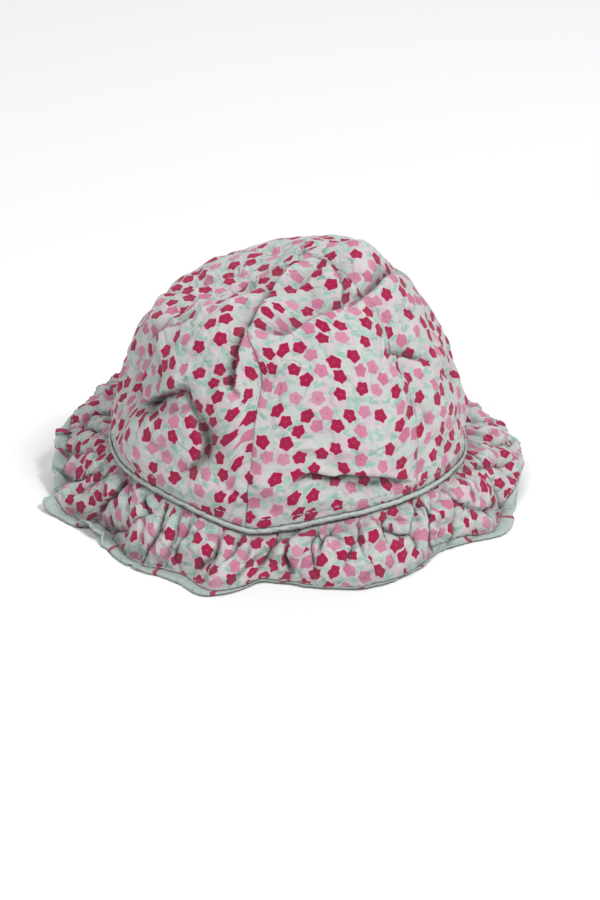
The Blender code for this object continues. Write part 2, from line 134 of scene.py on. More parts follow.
def runDown(points):
    # how far down its column each point of a grid lies, along the cloth
    step = np.linalg.norm(np.diff(points, axis=0), axis=-1)
    return np.concatenate([np.zeros((1, points.shape[1])), np.cumsum(step, axis=0)])


def runAcross(points, closed):
    # how far along its row each point of a grid lies; a closed one ends where it starts
    if closed:
        points = np.concatenate([points, points[:, :1]], axis=1)
    step = np.linalg.norm(np.diff(points, axis=1), axis=-1)
    return np.concatenate([np.zeros((len(points), 1)), np.cumsum(step, axis=1)], axis=1)


def evened(values, reach, axis, mode):
    # each value made the mean of its neighbours up to this many steps away
    pad = [(0, 0), (0, 0)]
    pad[axis] = (reach, reach)
    weights = np.ones(2 * reach + 1) / (2 * reach + 1)
    return np.apply_along_axis(np.convolve, axis, np.pad(values, pad, mode=mode), weights, "valid")


def addMesh(name, verts, faces, uvs=None):
    # uvs holds the flat place of each corner of each face
    mesh = bpy.data.meshes.new(name)
    mesh.from_pydata(verts, [], faces)
    if uvs is not None:
        layer = mesh.uv_layers.new(name="cloth")
        layer.data.foreach_set("uv", np.ascontiguousarray(uvs, dtype=np.float32).ravel())
        mesh.shade_smooth()
    piece = bpy.data.objects.new(name, mesh)
    bpy.context.scene.collection.objects.link(piece)
    return piece


def wrapMesh(name, points, uvs, closed, looks):
    # One cloth piece from rows of points that go over its face and back along its inside.
    # uvs holds the flat place of the left and of the right side of each column of faces,
    # and looks the material number of each strip between two rows.
    rows, columns = points.shape[:2]
    steps = columns if closed else columns - 1
    number = np.arange(rows * columns).reshape(rows, columns)
    i, j = np.meshgrid(np.arange(rows), np.arange(steps), indexing="ij")
    below, beside = (i + 1) % rows, (j + 1) % columns
    quads = np.stack([number[i, j], number[i, beside], number[below, beside], number[below, j]], -1)
    left, right = uvs
    corners = np.stack([left[i, j], right[i, j], right[below, j], left[below, j]], -2)
    quads, corners = quads.reshape(-1, 4), corners.reshape(-1, 4, 2)
    look = np.repeat(np.asarray(looks), steps)
    if not closed:      # the two side edges
        half = rows // 2
        k = np.arange(half - 1)
        for side, flatSide, turn in ((0, left[:, 0], 1), (columns - 1, right[:, -1], -1)):
            edge = np.stack([k, k + 1, rows - 2 - k, rows - 1 - k], -1)[:, ::turn]
            quads = np.concatenate([quads, number[edge, side]])
            corners = np.concatenate([corners, flatSide[edge]])
            look = np.concatenate([look, np.full(len(k), looks[0])])
    flat = points.reshape(-1, 3)
    a, b, c = flat[quads[:, 0]], flat[quads[:, 1]], flat[quads[:, 2]]
    if (np.cross(a, b) * c).sum() < 0:
        quads, corners = quads[:, ::-1], corners[:, ::-1]
    piece = addMesh(name, (flat + hatMiddle).tolist(), quads.tolist(), corners)
    piece.data.polygons.foreach_set("material_index", look.astype(np.int32))
    piece.data.update()
    return piece, corners


# the print: flowers and leaves are strewn over one repeat of the cloth, and every face
# of a sheet keeps the place of the flower and the leaf nearest to it

printRepeat = dict(
    size=0.150,             # the pattern starts again after this much cloth
    flowers=340,
    flowerGap=0.0060,       # least distance between the middles of two flowers
    flowerRadius=0.0032,
    leaves=400,
    leafGap=0.0048,
    leafLength=0.0024,      # half of a dab's long way
    leafTurn=0.5,           # how far a leaf may lean, in radians
    seed=11,
)


def strew(count, gap, dice):
    size = printRepeat["size"]
    spots = np.empty((0, 2))
    for _ in range(count):
        tries = dice.random((24, 2)) * size
        apart = tries[:, None] - spots[None]
        apart -= size * np.round(apart / size)
        near = np.hypot(apart[..., 0], apart[..., 1]).min(axis=1, initial=size)
        free = np.flatnonzero(near > gap)
        pick = free[0] if len(free) else np.argmax(near)
        spots = np.vstack([spots, tries[pick]])
    return spots


dice = np.random.default_rng(printRepeat["seed"])
flowerSpots = strew(printRepeat["flowers"], printRepeat["flowerGap"], dice)
flowerTurn = dice.random(len(flowerSpots)) * 2 * math.pi
flowerMark = dice.random(len(flowerSpots))
leafSpots = strew(printRepeat["leaves"], printRepeat["leafGap"], dice)
leafTurn = (dice.random(len(leafSpots)) - 0.5) * 2 * printRepeat["leafTurn"]
leafMark = dice.random(len(leafSpots))


def nearestSpots(piece, corners, label, spots, turns, marks, radius):
    size = printRepeat["size"]
    middle = corners.mean(axis=1)
    found = np.empty(len(middle), int)
    for start in range(0, len(middle), 4000):
        apart = middle[start:start + 4000, None] - spots[None]
        apart -= size * np.round(apart / size)
        found[start:start + 4000] = np.argmin((apart ** 2).sum(axis=-1), axis=1)
    apart = middle - spots[found]
    spot = middle - (apart - size * np.round(apart / size))
    away = (corners - spot[:, None]) / radius
    turn = turns[found][:, None]
    x = away[..., 0] * np.cos(turn) - away[..., 1] * np.sin(turn)
    y = away[..., 0] * np.sin(turn) + away[..., 1] * np.cos(turn)
    values = np.stack([x, y, np.broadcast_to(marks[found][:, None], x.shape)], -1)
    layer = piece.data.attributes.new(label, "FLOAT_VECTOR", "CORNER")
    layer.data.foreach_set("vector", np.ascontiguousarray(values, dtype=np.float32).ravel())


def printOn(piece, corners):
    nearestSpots(piece, corners, "flower", flowerSpots, flowerTurn, flowerMark,
                 printRepeat["flowerRadius"])
    nearestSpots(piece, corners, "leaf", leafSpots, leafTurn, leafMark,
                 printRepeat["leafLength"])


# materials

def colour(red, green, blue):
    # a colour as a picture editor writes it
    parts = [part / 255 for part in (red, green, blue)]
    return (*[p / 12.92 if p <= 0.04045 else ((p + 0.055) / 1.055) ** 2.4 for p in parts], 1)


class Tree:
    # short words for building a node tree

    def __init__(self, name, roughness=0.88, sheen=0.12):
        self.material = bpy.data.materials.new(name)
        self.material.use_nodes = True
        self.nodes = self.material.node_tree.nodes
        self.links = self.material.node_tree.links
        self.shader = self.nodes["Principled BSDF"]
        self.shader.inputs["Roughness"].default_value = roughness
        self.shader.inputs["Sheen Weight"].default_value = sheen
        self.shader.inputs["Sheen Roughness"].default_value = 0.6
        self.shader.inputs["Specular IOR Level"].default_value = 0.25

    def put(self, socket, value):
        if isinstance(value, bpy.types.NodeSocket):
            self.links.new(value, socket)
        elif value is not None:
            socket.default_value = value

    def math(self, kind, *values):
        node = self.nodes.new("ShaderNodeMath")
        node.operation = kind
        for socket, value in zip(node.inputs, values):
            self.put(socket, value)
        return node.outputs[0]

    def times(self, one, other):
        return self.math("MULTIPLY", one, other)

    def minus(self, one, other):
        return self.math("SUBTRACT", one, other)

    def absolute(self, value):
        return self.math("ABSOLUTE", value)

    def newChance(self, chance, times):
        # another chance number from one between 0 and 1; times is any large number
        return self.math("FRACT", self.times(chance, times))

    def step(self, value, low, high):
        node = self.nodes.new("ShaderNodeMapRange")
        node.interpolation_type = "SMOOTHSTEP"
        for label, number in (("Value", value), ("From Min", low), ("From Max", high)):
            self.put(node.inputs[label], number)
        return node.outputs[0]

    def mix(self, share, under, over):
        node = self.nodes.new("ShaderNodeMix")
        node.data_type = "RGBA"
        for number, value in ((0, share), (6, under), (7, over)):
            self.put(node.inputs[number], value)
        return node.outputs[2]

    def split(self, vector):
        node = self.nodes.new("ShaderNodeSeparateXYZ")
        self.put(node.inputs[0], vector)
        return node.outputs

    def join(self, x, y, z=0.0):
        node = self.nodes.new("ShaderNodeCombineXYZ")
        for socket, value in zip(node.inputs, (x, y, z)):
            self.put(socket, value)
        return node.outputs[0]

    def attribute(self, label):
        node = self.nodes.new("ShaderNodeAttribute")
        node.attribute_name = label
        return node.outputs["Vector"]

    def cloth(self):
        node = self.nodes.new("ShaderNodeUVMap")
        node.uv_map = "cloth"
        return node.outputs[0]

    def noise(self, place, scale, detail=2.0):
        node = self.nodes.new("ShaderNodeTexNoise")
        self.put(node.inputs["Vector"], place)
        node.inputs["Scale"].default_value = scale
        node.inputs["Detail"].default_value = detail
        return node.outputs["Fac"]

    def uneven(self, value, place, scale, amount):
        # a number that strays to both sides from place to place
        return self.math("MULTIPLY_ADD", self.minus(self.noise(place, scale), 0.5), amount, value)

    def bump(self, height, distance, strength, before=None):
        node = self.nodes.new("ShaderNodeBump")
        node.inputs["Distance"].default_value = distance
        node.inputs["Strength"].default_value = strength
        self.put(node.inputs["Height"], height)
        self.put(node.inputs["Normal"], before)
        return node.outputs[0]

    def patches(self, place, wide, high, metric, size):
        # irregular patches on a grid of so many a metre, and a chance number for each of them
        x, y, _ = self.split(place)
        node = self.nodes.new("ShaderNodeTexVoronoi")
        node.distance = metric
        self.put(node.inputs["Vector"], self.join(self.times(x, wide), self.times(y, high)))
        node.inputs["Scale"].default_value = 1
        ragged = self.times(self.noise(place, printLook["edgeNoise"]), printLook["patchRagged"])
        out = self.math("ADD", ragged, node.outputs["Distance"])
        edge = size + printLook["patchRagged"] / 2
        shown = self.minus(1.0, self.step(out, edge - printLook["patchSoft"], edge + printLook["patchSoft"]))
        return shown, self.split(node.outputs["Color"])[0]

    def dab(self, x, y, wide, high):
        # a rectangle with soft edges
        soft = printLook["dabSoft"]
        across = self.step(self.absolute(x), wide, wide - soft)
        return self.times(across, self.step(self.absolute(y), high, high - soft))

    def weave(self, place, thread):
        # over and under threads of a plain weave, from 0 to 1
        x, y, _ = self.split(place)
        turn = math.pi / thread
        warp = self.math("SINE", self.times(x, turn))
        weft = self.math("SINE", self.times(y, turn))
        return self.math("MULTIPLY_ADD", self.times(warp, weft), 0.5, 0.5)

    def withPaintedFoldShade(self, base):
        # painted shade: the colour is darkened in folds and recesses by ambient occlusion, standing in for
        # the shade that falls there
        node = self.nodes.new("ShaderNodeAmbientOcclusion")
        node.samples = 6
        node.inputs["Distance"].default_value = clothLook["paintedShadeReach"]
        deep = self.math("POWER", node.outputs["AO"], clothLook["paintedShadePower"])
        paintedShadeTone = self.mix(clothLook["paintedShadeStrength"], base, colour(*clothLook["paintedShadeColour"]))
        return self.mix(deep, paintedShadeTone, base)

    def finish(self, base, normal):
        # the base colour gets painted shade in its folds
        self.put(self.shader.inputs["Base Color"], self.withPaintedFoldShade(base))
        self.put(self.shader.inputs["Normal"], normal)
        return self.material


clothLook = dict(
    thread=0.00032,         # width of one yarn
    weaveDepth=0.00006,
    crumples=210,           # in a metre: small crumples, too fine for the mesh
    crumpleDepth=0.00042,
    lines=85,               # crossing lines left by folding and pressing
    lineWidth=0.10,
    lineDepth=0.00075,
    paintedShadeReach=0.012,        # painted shade: folds narrower than this get a darker colour
    # power, strength and colour of the painted shade in folds
    paintedShadePower=1.5,
    paintedShadeStrength=0.78,
    paintedShadeColour=(89, 85, 85),
    ground=(200, 199, 197),
    groundTint=(190, 196, 192),
    paleMint=(172, 198, 189),
    mint=(147, 189, 175),
    deepMint=(132, 178, 166),
    blush=(208, 184, 196),
    raspberry=(166, 10, 68),
    pink=(194, 112, 142),
    palePink=(205, 142, 166),
    deepRaspberry=(90, 12, 44),
    halo=(212, 184, 196),
    heart=(186, 84, 122),   # the dot in a flower
    facing=(184, 199, 192),
    facingShade=(168, 186, 178),
    slubs=(900, 160),       # thick places in the plain cloth's yarns, across and down a metre
    stripeWidth=0.0021,
    stripeSoft=0.0001,
    piping=(197, 205, 200),
    pipingShade=(178, 190, 184),
    stripe=(166, 52, 88),
    twists=9000,            # of the sewing thread
    twistDepth=0.00005,
    sewing=(200, 207, 203),
    sewingShade=(172, 188, 181),
)

printLook = dict(
    # noises and patches are so many in a metre
    tints=75,
    washes=150,
    washSize=0.40,
    washShare=0.8,
    strokes=[       # across, down, size, how many of them show
        (205, 390, 0.36, 0.50),
        (330, 300, 0.34, 0.30),
    ],
    strokeGroups=95,
    strokeShare=0.75,
    edgeNoise=560,
    patchRagged=0.24,
    patchSoft=0.03,
    dabSoft=0.12,
    leafWide=0.95,          # in leaf lengths, as all of a leaf's sizes
    leafHigh=0.38,
    leafUneven=0.55,
    leafStray=(520, 610),   # how finely its outline strays sideways and upwards
    leafShare=0.8,
    smallLeafAside=0.6,     # of the second dab beside the first
    smallLeafAbove=0.62,
    smallLeafWide=0.50,
    smallLeafHigh=0.30,
    lonelyLeaves=0.35,      # share of leaves without a second dab
    petalRadius=0.79,       # in flower radii, as all of a flower's sizes
    petalSpread=0.12,
    petalNotch=0.090,
    petalSoft=0.035,
    flowerUneven=0.30,
    flowerStray=(480, 430),
    rimWidth=0.19,
    rimSoft=0.09,
    rimShare=0.30,
    raspberryFlowers=0.62,  # the share of them
    dyeSpread=0.14,
    heartRadius=0.15,
    heartSoft=0.07,
    heartShare=0.55,
)


def clothRelief(tree, place):
    look = clothLook
    weave = tree.bump(tree.weave(place, look["thread"]), look["weaveDepth"], 0.6)
    crumple = tree.bump(tree.noise(place, look["crumples"], 3.0), look["crumpleDepth"], 0.8, weave)
    line = tree.absolute(tree.minus(tree.noise(place, look["lines"], 2.5), 0.5))
    return tree.bump(tree.step(line, 0.0, look["lineWidth"]), look["lineDepth"], 0.7, crumple)


def dyed(*names):
    return [colour(*clothLook[name]) for name in names]


def brushedGround(tree, place):
    # soft pale pink washes, and mint brushed on in short strokes
    look = printLook
    base = tree.mix(tree.step(tree.noise(place, look["tints"]), 0.40, 0.62), *dyed("ground", "groundTint"))
    wash, _ = tree.patches(place, look["washes"], look["washes"], "EUCLIDEAN", look["washSize"])
    base = tree.mix(tree.times(wash, look["washShare"]), base, *dyed("blush"))
    for wide, high, size, cover in look["strokes"]:
        stroke, chance = tree.patches(place, wide, high, "CHEBYCHEV", size)
        shown = tree.times(stroke, tree.math("LESS_THAN", chance, cover))
        shown = tree.times(shown, tree.step(tree.noise(place, look["strokeGroups"]), 0.40, 0.50))
        green = tree.mix(tree.times(chance, 1 / cover), *dyed("paleMint", "mint"))
        base = tree.mix(tree.times(shown, look["strokeShare"]), base, green)
    return base


def leavesOver(tree, place, base):
    # a leaf is two soft dabs, one a little beside the other
    look = printLook
    x, y, mark = tree.split(tree.attribute("leaf"))
    x = tree.uneven(x, place, look["leafStray"][0], look["leafUneven"])
    y = tree.uneven(y, place, look["leafStray"][1], look["leafUneven"])
    long = tree.dab(x, y, look["leafWide"], look["leafHigh"])
    aside = tree.minus(tree.times(mark, 2 * look["smallLeafAside"]), look["smallLeafAside"])
    above = tree.minus(y, look["smallLeafAbove"])
    short = tree.dab(tree.math("ADD", x, aside), above, look["smallLeafWide"], look["smallLeafHigh"])
    paired = tree.step(mark, look["lonelyLeaves"], look["lonelyLeaves"] + 0.01)
    leaf = tree.math("MAXIMUM", long, tree.times(short, paired))
    green = tree.mix(tree.newChance(mark, 17.0), *dyed("mint", "deepMint"))
    return tree.mix(tree.times(leaf, look["leafShare"]), base, green)


def flowersOver(tree, place, base):
    # a flower is five blunt petals with a pale rim and a dot
    look = printLook
    x, y, mark = tree.split(tree.attribute("flower"))
    x = tree.uneven(x, place, look["flowerStray"][0], look["flowerUneven"])
    y = tree.uneven(y, place, look["flowerStray"][1], look["flowerUneven"])
    out = tree.math("SQRT", tree.math("ADD", tree.times(x, x), tree.times(y, y)))
    fivefold = tree.math("COSINE", tree.times(tree.math("ARCTAN2", y, x), 5.0))
    large = tree.newChance(mark, 41.0)
    radius = tree.math("MULTIPLY_ADD", large, look["petalSpread"], look["petalRadius"])
    past = tree.minus(out, tree.math("MULTIPLY_ADD", fivefold, look["petalNotch"], radius))
    isRaspberry = tree.math("LESS_THAN", mark, look["raspberryFlowers"])
    rim = tree.step(past, look["rimWidth"], look["rimWidth"] - look["rimSoft"])
    rim = tree.times(rim, tree.math("MULTIPLY_ADD", isRaspberry, look["rimShare"], look["rimShare"]))
    base = tree.mix(rim, base, *dyed("halo"))
    dye = tree.newChance(mark, 23.0)
    pink = tree.mix(dye, *dyed("pink", "palePink"))
    deep = tree.mix(tree.times(dye, look["dyeSpread"]), *dyed("raspberry", "deepRaspberry"))
    flower = tree.mix(isRaspberry, pink, deep)
    heart = tree.step(out, look["heartRadius"], look["heartRadius"] - look["heartSoft"])
    flower = tree.mix(tree.times(heart, look["heartShare"]), flower, *dyed("heart"))
    return tree.mix(tree.step(past, look["petalSoft"], -look["petalSoft"]), base, flower)


def printedCotton(name, faded):
    # faded is 0 for the printed face and nearer 1 for the back of the cloth
    tree = Tree(name)
    place = tree.cloth()
    base = flowersOver(tree, place, leavesOver(tree, place, brushedGround(tree, place)))
    if faded:
        base = tree.mix(faded, base, *dyed("ground"))
    return tree.finish(base, clothRelief(tree, place))


def mintCotton(name, dye, stripeEvery=None):
    # stripeEvery is the distance between two stripes across the strip
    look = clothLook
    tree = Tree(name)
    place = tree.cloth()
    x, y, _ = tree.split(place)
    slub = tree.noise(tree.join(tree.times(x, look["slubs"][0]), tree.times(y, look["slubs"][1])), 1.0)
    base = tree.mix(slub, *dyed(dye, dye + "Shade"))
    if stripeEvery:
        along = tree.math("FRACT", tree.times(x, 1 / stripeEvery))
        off = tree.times(tree.absolute(tree.minus(along, 0.5)), stripeEvery)
        half, soft = look["stripeWidth"] / 2, look["stripeSoft"]
        base = tree.mix(tree.step(off, half + soft, half - soft), base, *dyed("stripe"))
    return tree.finish(base, clothRelief(tree, place))


def threadLook(name):
    tree = Tree(name, 0.7, 0.1)
    place = tree.cloth()
    x, y, _ = tree.split(place)
    twist = tree.math("SINE", tree.times(tree.math("ADD", x, y), clothLook["twists"]))
    base = tree.mix(tree.noise(place, clothLook["slubs"][0]), *dyed("sewing", "sewingShade"))
    return tree.finish(base, tree.bump(twist, clothLook["twistDepth"], 0.5))


printFace = printedCotton("printed_cotton", 0)
printBack = printedCotton("printed_cotton_back", 0.55)
mintPiping = mintCotton("mint_cotton", "piping")
mintStriped = mintCotton("mint_striped_cotton", "facing", 0.033)
mintThread = threadLook("mint_thread")
print("cloth and print ready:", len(flowerSpots), "flowers in a repeat")


# the crown

crown = dict(
    height=0.0845,          # from the top of the piping to the top
    fullness=2.15,          # 2 makes the crown half an ellipse, and more squares its shoulders
    lean=0.0055,            # how far it has slumped towards +X at its top
    cloth=0.0010,
    abovePiping=0.0003,     # gap between the piping and the crown's edge
    seamGap=0.00005,        # from a panel's side to the middle of the seam
    foldDepth=0.0100,       # of the deepest crease
    foldWidth=0.0060,
    hollowDepth=0.0080,     # of the widest hollow
    hollowRadius=0.0300,
    lipHeight=0.55,         # of the proud cloth beside a crease, as a share of its depth
    lipPlace=0.70,
    lipSpread=0.50,
    lipOverhang=0.65,
    sharpness=1.05,
    fade=0.6,
    hemFlat=0.95,           # creases end from this drop down to the piping
    seamDip=0.0010,
    seamDipWidth=0.0032,
    seamPucker=0.00055,     # small ripples the seam draws up
    seamPuckerSize=0.0050,
    seamPuckerReach=0.0075,
    hemPucker=0.00060,
    hemPuckers=0.21,        # to a degree
    hemPuckerReach=0.012,
    wrinkle=0.00110,        # soft wrinkles all over
    wrinkleSize=0.017,
    crumple=0.00180,        # long soft ridges
    crumpleSize=0.026,
    crumpleBend=0.35,
    crumples=[(1, 1, 7), (-0.5, 0.6, 9)],       # share, size and seed of each kind
    fineWrinkle=0.00065,
    fineWrinkleSize=0.013,
    finePatchSize=0.03,     # fine wrinkles come and go over patches of this size
    fineLeast=0.4,
    tip=0.0006,             # the panels' tips end this far from the middle
    turnedIn=[0.0030, 0.0016, 0.0006],      # the seam allowance, from its edge
    tuckedIn=[(0.0003, 0.0012), (0.0009, 0.0030)],      # at the piping: inward and down
    seamAllowance=0.003,
    hemAllowance=0.004,
    goreShare=0.66,         # of width times length, as a gore narrows to its tip
    printStep=(0.0137, 0.0071),     # each panel is cut elsewhere: this far on for each degree
)
crownRun = 1.5 * crown["height"]        # about how far the cloth runs from the top to the piping

# where each panel starts, and how finely its cloth is made
crownPanels = [
    ("crown_panel_front", -13, 120, 210),
    ("crown_panel_front_right", 44, 112, 190),
    ("crown_panel_back_right", 103, 84, 130),
    ("crown_panel_back", 163, 84, 130),
    ("crown_panel_back_left", 223, 84, 130),
    ("crown_panel_front_left", 287, 128, 210),
]

# broad hollows (below 0) and swells: azimuth, drop, depth, radius. A drop is a share of
# the way from the top (0) to the piping (1)
crownHollows = [
    (-80, 0.24, -1.25, 0.80),
    (-86, 0.52, 0.50, 0.80),
    (-78, 0.78, -0.95, 0.55),
    (-58, 0.91, 0.40, 0.50),
    (-38, 0.42, 0.35, 0.75),
    (-1, 0.29, -0.50, 0.50),
    (16, 0.60, 0.45, 0.90),
    (47, 0.56, -0.30, 0.40),
    (80, 0.22, 0.95, 0.78),
    (86, 0.55, -0.45, 1.00),
    (135, 0.70, -0.35, 0.80),
    (160, 0.35, 0.25, 0.70),
    (190, 0.60, -0.45, 0.80),
    (228, 0.45, 0.25, 0.75),
    (240, 0.80, -0.40, 0.65),
]

# creases: depth and width as shares of foldDepth and foldWidth, how far the cloth on the
# right-hand side of the line stands proud and laps over it, and the line's azimuths and drops
crownCreases = [
    (1.40, 1.10, -1.20, [(-20, 0.06), (-15.5, 0.175), (-14, 0.275), (-15.5, 0.36), (-17, 0.43),
                         (-20.5, 0.52), (-24, 0.64)]),
    (0.75, 0.85, 0.90, [(-12, 0.44), (1.5, 0.405), (12.5, 0.37), (28, 0.335)]),
    (0.70, 0.85, 0.60, [(25, 0.35), (38, 0.325), (53, 0.31), (72, 0.305), (100, 0.37)]),
    (0.50, 0.80, 0.30, [(46, 0.11), (35, 0.25), (25, 0.36)]),
    (0.40, 0.65, 0.60, [(-10, 0.31), (-2, 0.22), (6, 0.17), (20, 0.12), (28, 0.14)]),
    (0.50, 0.70, 0.60, [(38, 0.53), (47, 0.565), (60, 0.63)]),
    (0.30, 0.60, 0.40, [(40, 0.71), (47, 0.75), (50, 0.82)]),
    (0.55, 0.65, -0.90, [(-1, 0.91), (5, 0.87), (13, 0.89), (18, 0.89), (29, 0.92), (42, 0.98)]),
    (0.80, 1.00, 0.50, [(-45, 0.66), (-35.5, 0.755), (-30.5, 0.82), (-32, 0.89), (-38, 0.97)]),
    (1.00, 0.95, -0.70, [(-84, 0.75), (-71, 0.75), (-62.5, 0.78), (-56.5, 0.745), (-40, 0.67)]),
    (0.30, 0.80, 0.40, [(-62, 0.80), (-53, 0.805), (-46.5, 0.775), (-37, 0.73)]),
    (0.35, 0.90, 0.50, [(-86, 0.61), (-79, 0.595), (-65.5, 0.505), (-54, 0.44)]),
    (0.45, 0.80, -0.50, [(-78, 0.57), (-65.5, 0.62), (-58, 0.67), (-57, 0.74)]),
    (0.30, 0.90, 0.40, [(-98, 0.50), (-69.5, 0.37), (-50, 0.20)]),
    (0.40, 1.00, 0.40, [(66, 0.68), (82, 0.76), (98, 0.70)]),
    (0.55, 1.20, 0.50, [(112, 0.25), (122, 0.50), (116, 0.75)]),
    (0.60, 1.20, 0.50, [(170, 0.30), (186, 0.52), (212, 0.56)]),
    (0.55, 1.10, 0.50, [(206, 0.74), (222, 0.80), (246, 0.74)]),
    (0.50, 1.20, -0.50, [(258, 0.20), (262, 0.45), (250, 0.66)]),
]

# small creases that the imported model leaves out
smallCreases = [
    (0.14, 0.40, -0.8, [(3, 0.90), (17, 0.92), (31, 0.945)]),
    (0.10, 0.45, 0.6, [(14, 0.77), (14.5, 0.86), (15, 0.94)]),
    (0.12, 0.45, 0.5, [(-12, 0.50), (-9, 0.56), (-11, 0.67)]),
    (0.08, 0.50, 0.6, [(0, 0.61), (14, 0.62), (30, 0.60)]),
    (0.10, 0.50, -0.6, [(-52, 0.55), (-38, 0.60), (-28, 0.66)]),
    (0.10, 0.45, 0.6, [(-60, 0.86), (-48, 0.885), (-38, 0.93)]),
    (0.12, 0.45, 0.6, [(-24, 0.90), (-14, 0.935), (-4, 0.93)]),
    (0.10, 0.45, -0.6, [(50, 0.66), (60, 0.70), (72, 0.70)]),
    (0.12, 0.50, 0.6, [(52, 0.88), (64, 0.86), (78, 0.90)]),
    (0.10, 0.45, 0.5, [(-42, 0.16), (-30, 0.25), (-26, 0.36)]),
    (0.12, 0.45, -0.5, [(56, 0.40), (70, 0.45), (84, 0.43)]),
]

# the line of the piping: azimuth, and height as a share of pipingHeight
pipingLine = [
    (-110, 1.10), (-86, 1.14), (-68, 1.07), (-45, 1.03), (-34, 0.95), (-22, 0.79),
    (-11, 0.68), (0, 0.77), (12, 0.89), (24, 0.94), (46, 0.99), (64, 1.00),
    (85, 0.93), (115, 1.00), (150, 1.04), (205, 0.96),
]


def pipingLevel(azimuths):
    return hat["pipingHeight"] * loopCurve(pipingLine, 1, azimuths)


def domeShares(drops):
    # how far out and how far up the dome is, as shares of its radius and height
    quarter = drops * math.pi / 2
    power = 2 / crown["fullness"]
    return np.sin(quarter) ** power, np.maximum(np.cos(quarter), 0) ** power


def domePoint(azimuths, drops):
    out, rise = domeShares(drops)
    base = pipingLevel(azimuths) + pipingRadius + crown["abovePiping"]
    point = outward(azimuths) * (crownRadius * out)[..., None]
    point[..., 0] += crown["lean"] * rise
    point[..., 2] = base + rise * (hat["pipingHeight"] + pipingRadius + crown["height"] - base)
    return point


def domeNormal(azimuths, drops):
    out, rise = domeShares(drops)
    power = crown["fullness"] - 1
    normal = outward(azimuths) * (crown["height"] * out ** power)[..., None]
    normal[..., 2] = crownRadius * rise ** power
    return normal / np.linalg.norm(normal, axis=-1, keepdims=True)


def creaseLine(knots, place):
    # a smooth line on the cloth through its knots, and how far along it each point is
    knots = np.array(knots, float)
    ends = np.concatenate([[2 * knots[0] - knots[1]], knots, [2 * knots[-1] - knots[-2]]])
    line = []
    for k in range(len(knots) - 1):
        before, start, end, after = ends[k:k + 4]
        t = np.linspace(0, 1, 12, endpoint=False)[:, None]
        line.append(0.5 * (2 * start + (end - before) * t
                           + (2 * before - 5 * start + 4 * end - after) * t ** 2
                           + (3 * start - before - 3 * end + after) * t ** 3))
    line = np.concatenate(line + [knots[-1:]])
    point = place(line[:, 0], line[:, 1])
    run = np.linalg.norm(np.diff(point, axis=0), axis=1)
    share = np.concatenate([[0], np.cumsum(run)]) / run.sum()
    return point, np.gradient(point, axis=0), share


def creaseShift(crease, points, normals, look, place):
    # how far one crease moves each point, along the normal and across the crease
    depthShare, widthShare, lap, knots = crease
    width = look["foldWidth"] * widthShare
    path, run, share = creaseLine(knots, place)
    rise = np.zeros(points.shape[:-1])
    shift = np.zeros_like(points)
    reach = 5 * width
    near = ((points > path.min(axis=0) - reach) & (points < path.max(axis=0) + reach)).all(axis=-1)
    if not near.any():
        return rise, shift
    here, faces = points[near], normals[near]
    apart = here[:, None] - path
    nearest = np.argmin((apart ** 2).sum(axis=-1), axis=-1)
    away = apart[np.arange(len(here)), nearest]
    side = np.cross(run[nearest], faces)
    side /= np.maximum(np.linalg.norm(side, axis=-1, keepdims=True), 1e-9)
    across = (away * side).sum(axis=-1)
    level = ((away - across[:, None] * side) ** 2).sum(axis=-1)
    ends = np.maximum(np.sin(math.pi * share[nearest]), 0) ** look["fade"]
    depth = look["foldDepth"] * depthShare * ends
    valley = np.exp(-((np.sqrt(across ** 2 + level) / width) ** look["sharpness"]))
    hand = math.copysign(1, lap)
    proud = (across * hand / width - look["lipPlace"]) / look["lipSpread"]
    lip = abs(lap) * np.exp(-(proud ** 2) - level / width ** 2)
    rise[near] = depth * (look["lipHeight"] * lip - valley)
    shift[near] = -side * (look["lipOverhang"] * depth * lip * hand)[:, None]
    return rise, shift


def crownWrinkles(point):
    # soft wrinkles, long ridges and fine lines between the creases
    size = crown["crumpleSize"]
    bent = point + crown["crumpleBend"] * size * softNoise(point, size, 6)[..., None]
    rise = crown["wrinkle"] * softNoise(point, crown["wrinkleSize"], 3)
    for share, times, seed in crown["crumples"]:
        rise += share * crown["crumple"] * ridges(bent, size * times, seed)
    least = crown["fineLeast"]
    patchy = least + (1 - least) * smooth(-0.2, 0.5, softNoise(point, crown["finePatchSize"], 8))
    fine = ridges(point * [1, 1, 1.6], crown["fineWrinkleSize"], 5, 1)
    return rise + crown["fineWrinkle"] * fine * patchy


def seamPuckers(point, azimuths, drops):
    rise = np.zeros_like(azimuths)
    for _, start, _, _ in crownPanels:
        turn = np.radians((azimuths - start + 180) % 360 - 180)
        beside = np.abs(turn) * crownRadius * domeShares(drops)[0]
        rise -= crown["seamDip"] * np.exp(-((beside / crown["seamDipWidth"]) ** 2))
        sideOfSeam = np.sign(turn) * 40 + start     # far enough apart for ripples of its own
        ripple = flatNoise(sideOfSeam, point[..., 2] / crown["seamPuckerSize"], 21)
        near = np.exp(-((beside / crown["seamPuckerReach"]) ** 2)) * smooth(0.0002, 0.002, beside)
        rise += crown["seamPucker"] * ripple * near
    return rise


def hemPuckers(azimuths, drops):
    up = (1 - drops) * crownRun
    near = np.exp(-((up / crown["hemPuckerReach"]) ** 2)) * smooth(0, 0.004, up)
    return crown["hemPucker"] * flatNoise(azimuths * crown["hemPuckers"], 0 * drops, 33) * near


